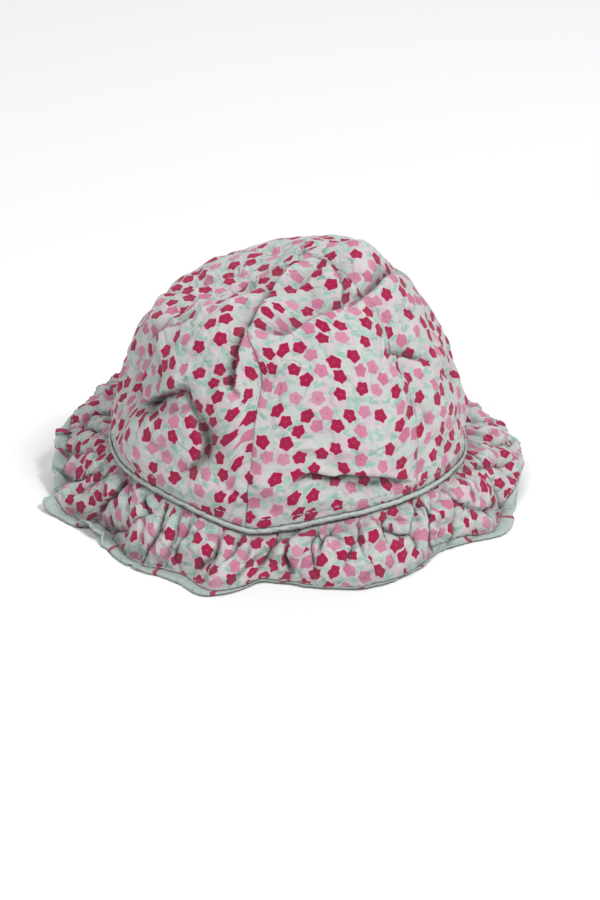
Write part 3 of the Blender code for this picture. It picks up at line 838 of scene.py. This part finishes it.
def crownPoint(azimuths, drops):
    point = domePoint(azimuths, drops)
    normal = domeNormal(azimuths, drops)
    rise = np.zeros_like(point[..., 0])
    shift = np.zeros_like(point)
    for azimuth, drop, depth, radius in crownHollows:
        middle = domePoint(np.array([azimuth]), np.array([drop]))[0]
        apart = np.linalg.norm(point - middle, axis=-1) / (crown["hollowRadius"] * radius)
        rise += crown["hollowDepth"] * depth * np.exp(-(apart ** 2))
    for crease in crownCreases + smallCreases:
        up, over = creaseShift(crease, point, normal, crown, domePoint)
        rise += up
        shift += over
    rise += crownWrinkles(point) + seamPuckers(point, azimuths, drops)
    free = 1 - smooth(crown["hemFlat"], 1, drops)
    rise = rise * free + hemPuckers(azimuths, drops)
    return point + normal * rise[..., None] + shift * free[..., None]


def panelCloth(start, end, columns, rows):
    # the outer face of one gore, with its seam allowances, and its flat places
    drops = np.linspace(0, 1, rows + 1)
    drops[0] = 2 / math.pi * math.asin((crown["tip"] / crownRadius) ** (crown["fullness"] / 2))
    turnedIn = np.array(crown["turnedIn"])
    added = len(turnedIn)
    share = np.concatenate([np.zeros(added), np.linspace(0, 1, columns + 1), np.ones(added)])
    inward = np.concatenate([turnedIn, np.zeros(columns + 1), turnedIn[::-1]])
    dropGrid, shareGrid = np.meshgrid(drops, share, indexing="ij")
    radius = crownRadius * domeShares(dropGrid)[0]
    gap = np.degrees(crown["seamGap"] / radius)
    azimuths = (start + gap) * (1 - shareGrid) + (end - gap) * shareGrid
    normal = domeNormal(azimuths, dropGrid)
    outer = crownPoint(azimuths, dropGrid)
    outer -= normal * (inward[None, :] * smooth(0.001, 0.01, radius))[..., None]
    tuck = [outer[-1] - outward(azimuths[-1]) * inwards - [0, 0, down] for inwards, down in crown["tuckedIn"]]
    outer = np.concatenate([outer, tuck])
    # across from the gore's middle line, and down from its tip
    middle = columns // 2 + added
    across = runAcross(outer, False)
    across -= across[:, middle:middle + 1]
    plain = np.radians(azimuths - (start + end) / 2) * radius
    plain = np.concatenate([plain] + [plain[-1:]] * len(tuck))
    across = plain + evened(across - plain, 9, 0, "edge")
    flat = np.stack([across, -evened(runDown(outer), 6, 1, "edge")], -1)
    facing = sheetNormals(outer, False)
    if (facing[rows // 2, columns // 2] * normal[rows // 2, columns // 2]).sum() < 0:
        facing = -facing
    return outer, facing, flat


def makePanel(name, start, end, columns, rows):
    outer, facing, flat = panelCloth(start, end, columns, rows)
    inner = outer - facing * crown["cloth"]
    uv = flat + start * np.array(crown["printStep"]) % printRepeat["size"]
    uvs = np.concatenate([uv, uv[::-1]])
    looks = [0] * (len(outer) - 1) + [1] * (len(inner) + 1)
    points = np.concatenate([outer, inner[::-1]])
    piece, corners = wrapMesh(name.removeprefix("crown_"), points, (uvs[:, :-1], uvs[:, 1:]), False, looks)
    printOn(piece, corners)
    for look in (printFace, printBack):
        piece.data.materials.append(look)
    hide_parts(name)
    return piece


pieces = []
for panel, following in zip(crownPanels, crownPanels[1:] + crownPanels[:1]):
    name, start, columns, rows = panel
    end = start + (following[1] - start) % 360
    pieces.append(makePanel(name, start, end, columns, rows))
print("crown sewn from", len(crownPanels), "panels")


# the piping

piping = dict(
    columns=900,
    sides=14,
    extra=0.80,             # half its height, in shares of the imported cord's radius
    flatness=0.62,          # how far it stands out, in shares of that
    uneven=0.10,
    unevenSize=0.006,
    wander=0.00025,
    wanderSize=(0.011, 0.009),      # in and out, up and down
    crinkle=0.00042,
    crinkleSize=0.0022,
)


def makePiping():
    azimuths = np.arange(piping["columns"]) * 360 / piping["columns"]
    turns = np.arange(piping["sides"]) * 2 * math.pi / piping["sides"]
    out = outward(azimuths)
    walk = out * pipingRing
    aside = piping["wander"] * softNoise(walk, piping["wanderSize"][0], 41)
    middle = out * (pipingRing + aside)[:, None]
    middle[:, 2] = pipingLevel(azimuths) + piping["wander"] * softNoise(walk, piping["wanderSize"][1], 42)
    thick = 1 + piping["uneven"] * softNoise(walk, piping["unevenSize"], 43)
    thick *= pipingRadius * piping["extra"]
    turn = turns[:, None, None]
    around = out * piping["flatness"] * np.cos(turn) + np.array([0, 0, 1]) * np.sin(turn)
    ring = middle + thick[:, None] * around
    crinkle = softNoise(ring * [1, 1, 2.0], piping["crinkleSize"], 44)
    ring += around * (piping["crinkle"] * crinkle)[..., None]
    length = 2 * math.pi * pipingRing
    u = np.linspace(0, length, piping["columns"] + 1)
    v = turns * pipingRadius
    uvs = np.stack(np.broadcast_arrays(u[None, :], v[:, None]), -1)
    piece, _ = wrapMesh("piping_cord", ring, (uvs[:, :-1], uvs[:, 1:]), True, [0] * piping["sides"])
    piece.data.materials.append(mintPiping)
    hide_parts("piping")
    return piece


pieces.append(makePiping())
print("piping laid round the crown")


# the brim: a printed ruffle on a mint facing whose edge shows as a border

brim = dict(
    reach=0.0270,           # from the piping out to the hem
    lift=0.0280,            # of the highest part of the wavy hem
    border=0.0055,          # mint that shows beyond the print
    facingCloth=0.0006,
    ruffleCloth=0.0006,
    between=0.0001,
    borderPuff=0.0002,
    borderLow=0.55,         # where it comes out from under the print, as a share of the stack
    nose=[65, 30, 0, -30, -65],     # the rounded edge, in degrees
    noseRun=0.0015,
    gather=0.0030,          # depth of the deepest gather
    gatherMean=0.8,         # how its depth varies on its way, in shares
    gatherSpread=1.1,
    gatherLeast=0.15,
    gatherMost=1.5,
    wanderNoise=(3.7, 2.3),         # bumps from one gather to the next, and from piping to hem
    depthNoise=(5.3, 2.9),
    wander=1.8,             # degrees a gather strays to either side
    foldDepth=0.0078,       # of the deepest crease
    foldWidth=0.0027,
    lipHeight=0.22,         # as on the crown
    lipPlace=0.80,
    lipSpread=0.70,
    lipOverhang=0.50,
    sharpness=0.9,
    fade=0.5,
    lobe=0.0022,            # uneven swells, wider than the gathers
    lobeSize=0.026,
    press=0.0060,           # how far its weight presses the lowest hem down
    pressed=0.0020,
    stiffAtSeam=0.45,
    stiffAtHem=0.30,
    hemSlope=0.16,
    puff=0.0018,
    ridge=0.45,             # how far the cloth between two gathers stands up, as a share of gather
    roundness=1.7,          # 1 gives a gather a sharp ridge, and more a round one
    kept=0.15,              # share of its depth that a gather keeps past the end of its run
    holdRun=0.35,           # share of its run over which a gather keeps its depth
    rows=38,
    frontColumns=22,
    backColumns=28,
    smallCreaseEvery=4.6,   # degrees
    hiddenCreaseEvery=8.5,
    hiddenGathers=14,       # behind, spaced and shaped evenly
    hiddenDepth=0.80,
    hiddenRun=0.90,
    hiddenDrift=3.0,
    hiddenSpread=0.22,
    hiddenSwing=2.4,
    pleat=0.0013,           # small pleats between the gathers, close to the piping
    pleatEvery=3.3,         # degrees, as is pleatStray
    pleatStray=1.3,
    pleatStraySize=0.010,
    pleatRun=0.6,
    calmHem=0.6,            # how far the swells and wrinkles die out by the hem
    wrinkle=0.0012,
    wrinkleSize=0.010,
    wrinkleBend=0.005,
    unevenSize=0.012,       # pleats and wrinkles vary over patches of this size
    softWrinkle=0.00072,
    crumples=[(1, 1.6, 54), (-0.9, 1.3, 58), (0.4, 0.6, 59)],       # long ridges: share, size, seed
    rollRun=0.06,           # the hem's roll begins this far before the edge of the print
    borderRows=9,
    hemRipple=0.0009,
    hemRippleSize=0.012,
)

# azimuth, how far out the hem lies, how high it is lifted, and how far its edge is rolled up
hemLine = [
    (-148, 0.96, 0.40, 0), (-134, 1.00, 0.88, -110), (-125, 1.16, 0.84, -150), (-116, 1.02, 0.76, -130),
    (-109, 1.08, 0.62, -30), (-100, 0.98, 0.38, 35), (-91, 0.93, 0.24, 30), (-86, 0.90, 0.06, 20),
    (-79, 1.04, 0.06, 20), (-72, 0.80, 0.00, 25), (-64, 0.60, 0.05, 45), (-54, 0.54, 0.02, 45),
    (-46, 0.72, 0.00, 15), (-39, 0.86, 0.00, -10), (-30, 0.68, 0.02, 45), (-24, 0.84, 0.00, 35),
    (-18, 1.10, 0.00, -5), (-13, 0.92, 0.02, -15), (-6, 0.50, 0.04, -20), (0, 0.56, 0.00, -20),
    (10, 0.78, 0.00, -20), (22, 0.90, 0.00, -20), (34, 0.70, 0.00, -20), (44, 0.44, 0.04, -10),
    (54, 0.50, 0.04, 10), (64, 0.86, 0.02, 15), (74, 0.84, 0.02, 10), (82, 0.96, 0.12, -50),
    (90, 1.12, 0.20, -145), (99, 1.22, 0.24, -160), (107, 1.24, 0.36, -160), (116, 1.12, 0.42, -150),
    (125, 1.08, 0.52, -100), (138, 1.06, 0.24, -20), (152, 0.86, 0.06, 0), (166, 1.02, 0.38, 0),
    (182, 0.84, 0.00, 0), (196, 1.00, 0.30, 0),
]

# gathers that show from the front: azimuth at the piping, drift by the hem, depth, run
gathers = [
    (-98, -6, 0.85, 0.95), (-88, 2, 1.00, 1.00), (-79, -6, 0.60, 0.70), (-70, 8, 1.00, 1.05),
    (-62, 5, 0.60, 0.70), (-54, 8, 0.80, 0.80), (-46, 6, 1.00, 1.10), (-38, 4, 0.55, 0.60),
    (-30, 3, 0.70, 0.75), (-21, 0, 0.60, 1.00), (-12, -4, 0.75, 0.90), (-3, -4, 0.95, 0.85),
    (6, -4, 1.00, 0.80), (14, -3, 0.80, 0.70), (22, 0, 0.60, 0.65), (31, 0, 0.75, 0.60),
    (39, 1, 1.00, 0.80), (47, 0, 0.90, 1.05), (56, 2, 0.70, 0.80), (66, 1, 0.80, 1.00),
    (76, 2, 0.60, 0.75), (86, 0, 0.90, 0.85), (96, 2, 1.00, 0.90), (107, 1, 0.80, 1.00),
]

# creases of the ruffle as those of the crown, from the piping (0) to the hem (1)
brimCreases = [
    (0.9, 1.0, -0.8, [(-94, 1.05), (-88, 0.80), (-77, 0.45), (-73, 0.08)]),
    (1.0, 1.1, 0.9, [(-60, -0.05), (-61, 0.40), (-65, 0.63), (-66, 1.00)]),
    (0.8, 0.9, 0.8, [(-40, 0.05), (-37.5, 0.48), (-39.5, 0.72), (-41, 1.05)]),
    (0.7, 0.8, -0.7, [(-28, 0.05), (-29.5, 0.45), (-31, 0.75)]),
    (0.6, 0.9, 0.6, [(-8, 0.25), (-10, 0.50), (-15, 0.78)]),
    (0.7, 0.8, 0.8, [(-3, 0.00), (-6, 0.38), (-8, 0.72)]),
    (1.0, 1.0, -0.9, [(4, -0.05), (1.5, 0.28), (0.5, 0.45), (2, 0.70)]),
    (0.7, 0.7, 0.7, [(9, 0.00), (6, 0.39), (7, 0.68)]),
    (0.7, 0.8, -0.7, [(15, 0.00), (11, 0.26), (8, 0.52)]),
    (0.6, 0.7, 0.7, [(22, 0.00), (19, 0.30), (19.5, 0.58)]),
    (0.7, 0.9, -0.6, [(27, 0.05), (31.5, 0.42), (38, 0.65)]),
    (1.0, 1.0, 0.9, [(43, 0.00), (35.5, 0.40), (37, 0.68)]),
    (0.9, 0.9, -0.8, [(45, 0.05), (46, 0.50), (43, 0.88)]),
    (0.7, 1.0, -0.7, [(54, 0.30), (62, 0.57), (75, 0.70)]),
    (0.8, 0.8, 0.7, [(70, 0.05), (79, 0.32), (92, 0.70)]),
    (0.8, 0.8, 0.7, [(90, 0.00), (93, 0.28), (103, 0.80)]),
    (0.7, 1.0, 0.7, [(78, 0.50), (76.5, 0.82), (72, 1.10)]),
    (0.8, 0.8, -0.8, [(-49, 0.08), (-42.5, 0.28), (-43.5, 0.43), (-50, 0.68)]),
    (0.6, 0.8, 0.6, [(-20, 0.05), (-20, 0.45), (-25, 0.75)]),
    (0.6, 0.7, 0.7, [(-34, 0.00), (-32.5, 0.50), (-33, 0.80)]),
    (0.5, 0.7, -0.6, [(-14, 0.00), (-14.5, 0.38), (-18, 0.62)]),
    (0.7, 0.8, 0.7, [(-70, 0.00), (-72, 0.43), (-78, 0.82)]),
    (0.6, 0.7, 0.6, [(17, 0.00), (17.5, 0.36), (14, 0.65)]),
    (0.5, 0.7, -0.6, [(32, 0.00), (28, 0.26), (27, 0.62)]),
    (0.7, 0.8, 0.7, [(55, 0.00), (53.5, 0.60), (49, 0.95)]),
    (0.7, 0.9, -0.7, [(-48, 0.64), (-53, 0.71), (-60, 0.86)]),
    (0.6, 0.8, 0.6, [(-99, 1.00), (-90, 0.50), (-79, 0.12)]),
    (0.7, 0.8, 0.7, [(-109, 0.80), (-98, 0.33), (-88, 0.00)]),
]
# small ones between them, close to the piping, and those that can't be seen in front
dice = np.random.default_rng(5)
for azimuth in np.arange(-112, 112, brim["smallCreaseEvery"]):
    start, reached = azimuth + dice.uniform(-1.5, 1.5), dice.uniform(0.22, 0.60)
    drift, lap = dice.uniform(-5, 5), dice.choice([-0.7, 0.7])
    brimCreases.append((dice.uniform(0.15, 0.45), dice.uniform(0.4, 0.7), lap, [
        (start, 0.02), (start + drift * 0.3, reached * 0.6), (start + drift, reached)]))
for azimuth in np.arange(112, 250, brim["hiddenCreaseEvery"]):
    drift, bow, lap = dice.uniform(-7, 7), dice.uniform(-4, 4), dice.choice([-0.8, 0.8])
    reached = dice.uniform(0.65, 1.05)
    brimCreases.append((dice.uniform(0.5, 0.95), dice.uniform(0.7, 1.0), lap, [
        (azimuth, 0.0), (azimuth + drift / 2 + bow, reached / 2), (azimuth + drift, reached)]))

brimWidth = math.hypot(brim["reach"], hat["pipingHeight"])
printEdge = 1 - brim["border"] / brimWidth
brimStack = brim["facingCloth"] + brim["between"] + brim["ruffleCloth"]


def gatherColumns():
    # for each column: the gather before it, the one after it, and its share between them
    lines = list(gathers)
    room = gathers[0][0] + 360 - gathers[-1][0]
    count = brim["hiddenGathers"]
    for i in range(count):
        swing = math.sin(brim["hiddenSwing"] * (i + 1))
        vary = 1 + brim["hiddenSpread"] * math.cos(brim["hiddenSwing"] * i)
        azimuth = gathers[-1][0] + room * (i + 1 + brim["hiddenSpread"] * swing) / (count + 1)
        drift, depth, run = brim["hiddenDrift"] * swing, brim["hiddenDepth"] * vary, brim["hiddenRun"] * vary
        lines.append((azimuth, drift, depth, run))
    before, after, share = [], [], []
    for i in range(len(lines)):
        columns = brim["frontColumns"] if i < len(gathers) - 1 else brim["backColumns"]
        before += [i] * columns
        after += [(i + 1) % len(lines)] * columns
        share += [j / columns for j in range(columns)]
    return np.array(lines), np.array(before), np.array(after), np.array(share)


def brimSection(azimuths, along):
    # the brim without its gathers: radius, height and the slope's normal
    reach = brim["reach"] * loopCurve(hemLine, 1, azimuths)
    lift = np.maximum(brim["lift"] * loopCurve(hemLine, 2, azimuths), 0)
    startHeight = pipingLevel(azimuths) - pipingRadius - brimStack
    start = np.stack([np.full_like(reach, crownRadius - hat["crownWall"]), startHeight])
    end = np.stack([pipingRing + reach, lift])
    length = np.linalg.norm(end - start, axis=0)
    leave = start + np.stack([brim["stiffAtSeam"] * length, np.full_like(length, brim["puff"])])
    arrive = end + np.stack([-brim["stiffAtHem"] * length, brim["hemSlope"] * length + brim["puff"]])
    t = along
    shares = ((1 - t) ** 3, 3 * t * (1 - t) ** 2, 3 * t * t * (1 - t), t ** 3)
    slopes = (-3 * (1 - t) ** 2, 3 * (1 - t) * (1 - 3 * t), 3 * t * (2 - 3 * t), 3 * t * t)
    corners = (start, leave, arrive, end)
    radius, height = sum(share * corner for share, corner in zip(shares, corners))
    lying = 1 - smooth(0, brim["pressed"], lift)
    height = height - brim["press"] * smooth(0.5, printEdge, t) * lying
    run, fall = sum(slope * corner for slope, corner in zip(slopes, corners))
    size = np.hypot(run, fall)
    return radius, height, -fall / size, run / size


def brimPoint(azimuths, alongs):
    radius, height, _, _ = brimSection(azimuths, alongs)
    point = outward(azimuths) * radius[..., None]
    point[..., 2] = height
    return point


def brimRow(columns, along):
    # one row round the brim: its columns' azimuths, and how far the gathers lift it
    lines, before, after, share = columns
    start, drift, depth, run = lines.T
    numbers = np.arange(len(lines))
    across, down = brim["wanderNoise"]
    stray = flatNoise(numbers * across, along * down, 61)
    valley = start + drift * along + brim["wander"] * 2 * stray
    nextValley = valley[after] + np.where(after == 0, 360, 0)
    azimuths = valley[before] * (1 - share) + nextValley * share
    held = 1 - (1 - brim["kept"]) * smooth(brim["holdRun"] * run, run, along)
    strength = depth * smooth(0.05, 0.20, along) * held
    across, down = brim["depthNoise"]
    vary = brim["gatherMean"] + brim["gatherSpread"] * flatNoise(numbers * across, along * down, 62)
    strength = strength * np.clip(vary, brim["gatherLeast"], brim["gatherMost"])
    strength = strength[before] * (1 - share) + strength[after] * share
    hollow = np.abs(2 * share - 1) ** brim["roundness"]
    return azimuths, brim["gather"] * strength * (brim["ridge"] - hollow)


def brimWrinkles(spot, azimuths, along):
    # pleats, swells, wrinkles and the ripple of the hem
    stray = brim["pleatStray"] * softNoise(spot, brim["pleatStraySize"], 51)
    phase = np.radians(azimuths + stray) * 180 / brim["pleatEvery"]
    near = smooth(0.03, 0.12, along) * (1 - smooth(0.2, brim["pleatRun"], along))
    vary = 0.55 + 0.45 * softNoise(spot, brim["unevenSize"], 52)
    rise = brim["pleat"] * vary * (np.abs(np.sin(phase)) - 0.6) * near
    inner = smooth(0.05, 0.35, along) * (1 - brim["calmHem"] * smooth(0.75, 1, along))
    rise += brim["lobe"] * inner * softNoise(spot, brim["lobeSize"], 56)
    bent = spot + brim["wrinkleBend"] * softNoise(spot, brim["unevenSize"], 57)[:, None]
    rise += brim["softWrinkle"] * inner * softNoise(bent, brim["wrinkleSize"], 53)
    for share, size, seed in brim["crumples"]:
        rise += share * brim["wrinkle"] * inner * ridges(bent, brim["wrinkleSize"] * size, seed)
    return rise + brim["hemRipple"] * smooth(0.55, 1, along) * softNoise(spot, brim["hemRippleSize"], 55)


def brimSurface(columns, alongs):
    # the top of the brim, as a grid of rows from the piping to the hem
    grid, facing, rises = [], [], []
    for along in alongs:
        azimuths, rise = brimRow(columns, along)
        radius, height, out, up = brimSection(azimuths, np.full_like(azimuths, along))
        spot = outward(azimuths) * radius[:, None]
        spot[:, 2] = height
        way = outward(azimuths) * out[:, None]
        way[:, 2] = up
        grid.append(spot)
        facing.append(way)
        rises.append(rise + brimWrinkles(spot, azimuths, along))
    grid, facing, rises = np.array(grid), np.array(facing), np.array(rises)
    shift = np.zeros_like(grid)
    for crease in brimCreases:
        up, over = creaseShift(crease, grid, facing, brim, brimPoint)
        rises += up
        shift += over
    held = smooth(0.0, 0.10, np.asarray(alongs))[:, None]
    return grid + facing * (rises * held + brimStack)[..., None] + shift * held[..., None]


def rollHem(points, alongs, azimuths):
    # turns the last of each column up or down about the line where the roll begins
    begin = printEdge - brim["rollRun"]
    first = int(np.searchsorted(alongs, begin))
    roll = np.radians(loopCurve(hemLine, 3, azimuths))
    out = outward(azimuths)
    hinge = points[first].copy()
    for i in range(first + 1, len(alongs)):
        turn = roll * smooth(begin, 1.0, alongs[i])
        away = points[i] - hinge
        level = (away * out).sum(axis=1)
        side = away - out * level[:, None]
        side[:, 2] = 0
        newLevel = level * np.cos(turn) - away[:, 2] * np.sin(turn)
        newUp = level * np.sin(turn) + away[:, 2] * np.cos(turn)
        points[i] = hinge + side + out * newLevel[:, None]
        points[i, :, 2] = hinge[:, 2] + newUp
    return points


columns = gatherColumns()
alongs = np.concatenate([np.linspace(0, printEdge, brim["rows"] + 1),
                         np.linspace(printEdge, 1, brim["borderRows"] + 1)[1:]])
surface = brimSurface(columns, alongs)
hemAzimuth = np.degrees(np.arctan2(surface[-1, :, 0], -surface[-1, :, 1]))
surface = rollHem(surface, alongs, hemAzimuth)
facingUp = sheetNormals(surface, True)
if facingUp[..., 2].mean() < 0:
    facingUp = -facingUp


def brimLayer(rows, above):
    # rows of the cloth this far above the brim's underside, pressed flat where they meet the table
    layer = surface[rows] - facingUp[rows] * (brimStack - np.reshape(above, (-1, 1, 1)))
    layer[..., 2] = np.maximum(layer[..., 2], np.reshape(above, (-1, 1)))
    return layer


# Flat places on the strip. Cloth is hidden in the valleys, so that the print jumps there.
across = runAcross(surface, True)
lobeStart = np.flatnonzero(columns[3] == 0)
lobeEnd = np.append(lobeStart[1:], len(columns[3]))
lobeOf = np.repeat(np.arange(len(lobeStart)), lobeEnd - lobeStart)
lobeMiddle = (lobeStart + lobeEnd) // 2
shift = (across[-1, lobeMiddle] - across[:, lobeMiddle])[:, lobeOf]
stripLeft, stripRight = across[:, :-1] + shift, across[:, 1:] + shift
stripLeft, stripRight = evened(stripLeft, 4, 0, "edge"), evened(stripRight, 4, 0, "edge")
stripDown = evened(runDown(surface), 6, 1, "wrap")
stripDown = np.concatenate([stripDown, stripDown[:, :1]], axis=1)


def stripUv(rows, extra=0.0):
    v = -(stripDown[rows] + np.reshape(extra, (-1, 1)))
    return np.stack([stripLeft[rows], v[:, :-1]], -1), np.stack([stripRight[rows], v[:, 1:]], -1)


def makeRuffle():
    last = brim["rows"]
    rows = np.arange(last + 1)
    low = brim["facingCloth"] + brim["between"]
    over = brimLayer(rows, np.where(rows == last, low + 0.4 * brim["ruffleCloth"], brimStack))
    under = brimLayer(rows, np.full(len(rows), low))
    points = np.concatenate([over, under[::-1]])
    uvs = stripUv(np.concatenate([rows, rows[::-1]]))
    piece, corners = wrapMesh("ruffle", points, uvs, True, [0] * len(points))
    printOn(piece, corners)
    piece.data.materials.append(printFace)
    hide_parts("brim_ruffle")
    return piece


def makeFacing():
    last = brim["rows"]
    total = len(alongs)
    thin = brim["facingCloth"]
    hidden = np.arange(0, last + 1)
    border = np.arange(last, total - 1)
    swell = np.sin(np.linspace(0.12, 1, len(border)) * math.pi * 0.62)
    low = brim["borderLow"] * brimStack
    over = [brimLayer(hidden, np.full(len(hidden), thin)),
            brimLayer(border, low + (brimStack - low + brim["borderPuff"]) * swell)]
    edge = surface[-1] - surface[-2]
    edge /= np.linalg.norm(edge, axis=1, keepdims=True)
    top = brimStack + 0.6 * brim["borderPuff"]
    nose = []
    for turn in np.radians(brim["nose"]):
        height = top / 2 * (1 + math.sin(turn))
        row = surface[-1] - facingUp[-1] * (brimStack - height) + edge * (top / 2 * (math.cos(turn) - 0.6))
        row[:, 2] = np.maximum(row[:, 2], height)
        nose.append(row)
    back = np.arange(total - 1, -1, -1)
    points = np.concatenate(over + [np.array(nose), brimLayer(back, np.zeros(total))])
    rows = np.concatenate([hidden, border, np.full(len(nose), total - 1), back])
    extra = np.zeros(len(rows))
    extra[len(hidden) + len(border):][:len(nose)] = np.linspace(0, brim["noseRun"], len(nose))
    piece, _ = wrapMesh("facing", points, stripUv(rows, extra), True, [0] * len(points))
    piece.data.materials.append(mintStriped)
    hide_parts("brim_facing")
    return piece


ruffle = makeRuffle()
facing = makeFacing()
pieces += [ruffle, facing]


# stitches

stitching = dict(
    length=0.0024,
    gap=0.0007,
    thick=0.00022,          # a thread's radius
    proud=0.00010,
    fromHem=0.0016,         # from the edge of the print
    fromPiping=0.0022,
    sides=6,
    steps=5,
)


def stitchRow(name, line, normals):
    # separate small stitches all along a closed line that lies on the cloth
    points = np.concatenate([line, line[:1]])
    normals = np.concatenate([normals, normals[:1]])
    run = np.concatenate([[0], np.cumsum(np.linalg.norm(np.diff(points, axis=0), axis=1))])
    count = int(run[-1] / (stitching["length"] + stitching["gap"]))
    pitch = run[-1] / count
    verts, faces = [], []
    sides, steps = stitching["sides"], stitching["steps"]
    turns = np.arange(sides) * 2 * math.pi / sides
    for k in range(count):
        share = np.linspace(0, 1, steps)
        at = (k + 0.5) * pitch + (share - 0.5) * stitching["length"]
        middle = np.stack([np.interp(at, run, points[:, c]) for c in range(3)], -1)
        up = np.stack([np.interp(at, run, normals[:, c]) for c in range(3)], -1)
        up /= np.linalg.norm(up, axis=1, keepdims=True)
        way = np.gradient(middle, axis=0)
        way /= np.maximum(np.linalg.norm(way, axis=1, keepdims=True), 1e-12)
        side = np.cross(way, up)
        arch = np.sin(share * math.pi) ** 0.5
        middle = middle + up * (stitching["proud"] * (2 * arch - 1))[:, None]
        thick = stitching["thick"] * (0.45 + 0.55 * arch)
        first = len(verts)
        for i in range(steps):
            around = np.cos(turns)[:, None] * up[i] + np.sin(turns)[:, None] * side[i]
            verts += (middle[i] + thick[i] * around + hatMiddle).tolist()
        for i in range(steps - 1):
            for j in range(sides):
                a, b = first + i * sides + j, first + i * sides + (j + 1) % sides
                faces.append((a, b, b + sides, a + sides))
        faces.append(tuple(range(first + sides - 1, first - 1, -1)))
        faces.append(tuple(range(first + (steps - 1) * sides, first + steps * sides)))
    piece = addMesh(name, verts, faces, [verts[i][:2] for face in faces for i in face])
    piece.data.materials.append(mintThread)
    return piece


hemRow = int(np.searchsorted(alongs, printEdge - stitching["fromHem"] / brimWidth))
hemSeam = brimLayer(np.array([hemRow]), brimStack)[0]
hemStitches = stitchRow("hem_stitches", hemSeam, facingUp[hemRow])
azimuthRing = np.arange(0, 360, 0.25)
edgeDrop = np.full_like(azimuthRing, 1 - stitching["fromPiping"] / crownRun)
crownSeam = crownPoint(azimuthRing, edgeDrop)
crownStitches = stitchRow("crown_edge_stitches", crownSeam, domeNormal(azimuthRing, edgeDrop))
pieces += [hemStitches, crownStitches]
print("stitches sewn")

for piece in pieces:
    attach(piece, "root")


# floor, light and camera

studio = dict(
    floor=(254, 254, 254),
    ambient=0.22,
    lights=[        # azimuth, elevation, distance, size, watts
        (55, 53, 2.4, 0.6, 35),
        (-30, 45, 2.4, 1.2, 19),
        (180, 50, 2.4, 1.4, 16),
    ],
    elevation=25,
    distance=1.0,
    lens=91.2,
    aside=0.0015,           # the camera aims this far beside the ring's middle
    picture=(600, 900),
    pictureMiddle=(291.5, 490),     # the pixel where that point of the table lies
)

floor = addMesh("floor", [(-5, -5, 0), (5, -5, 0), (5, 5, 0), (-5, 5, 0)], [(0, 1, 2, 3)])
floorLook = bpy.data.materials.new("floor_card")
floorLook.use_nodes = True
card = floorLook.node_tree.nodes["Principled BSDF"]
card.inputs["Base Color"].default_value = colour(*studio["floor"])
card.inputs["Roughness"].default_value = 0.9
floor.data.materials.append(floorLook)

world = bpy.data.worlds.new("studio")
world.use_nodes = True
sky = world.node_tree.nodes["Background"]
sky.inputs["Color"].default_value = (1, 1, 1, 1)
sky.inputs["Strength"].default_value = studio["ambient"]
bpy.context.scene.world = world


def direction(azimuth, elevation):
    a, e = math.radians(azimuth), math.radians(elevation)
    return Vector((math.sin(a) * math.cos(e), -math.cos(a) * math.cos(e), math.sin(e)))


for azimuth, elevation, distance, size, watts in studio["lights"]:
    data = bpy.data.lights.new("softbox", "AREA")
    data.size = size
    data.energy = watts
    lamp = bpy.data.objects.new("softbox", data)
    lamp.location = direction(azimuth, elevation) * distance
    lamp.rotation_euler = (-lamp.location).to_track_quat("-Z", "Y").to_euler()
    bpy.context.scene.collection.objects.link(lamp)

cameraData = bpy.data.cameras.new("camera")
cameraData.sensor_width = 36
cameraData.lens = studio["lens"]
wide, high = studio["picture"]
cameraData.shift_x = (wide / 2 - studio["pictureMiddle"][0]) / high
cameraData.shift_y = (studio["pictureMiddle"][1] - high / 2) / high
camera = bpy.data.objects.new("camera", cameraData)
towards = direction(0, studio["elevation"])
camera.location = towards * studio["distance"] + Vector((hatMiddle[0] + studio["aside"], hatMiddle[1], 0))
camera.rotation_euler = (-towards).to_track_quat("-Z", "Y").to_euler()
bpy.context.scene.collection.objects.link(camera)
bpy.context.scene.camera = camera
bpy.context.scene.view_settings.view_transform = "Standard"
print("studio set")
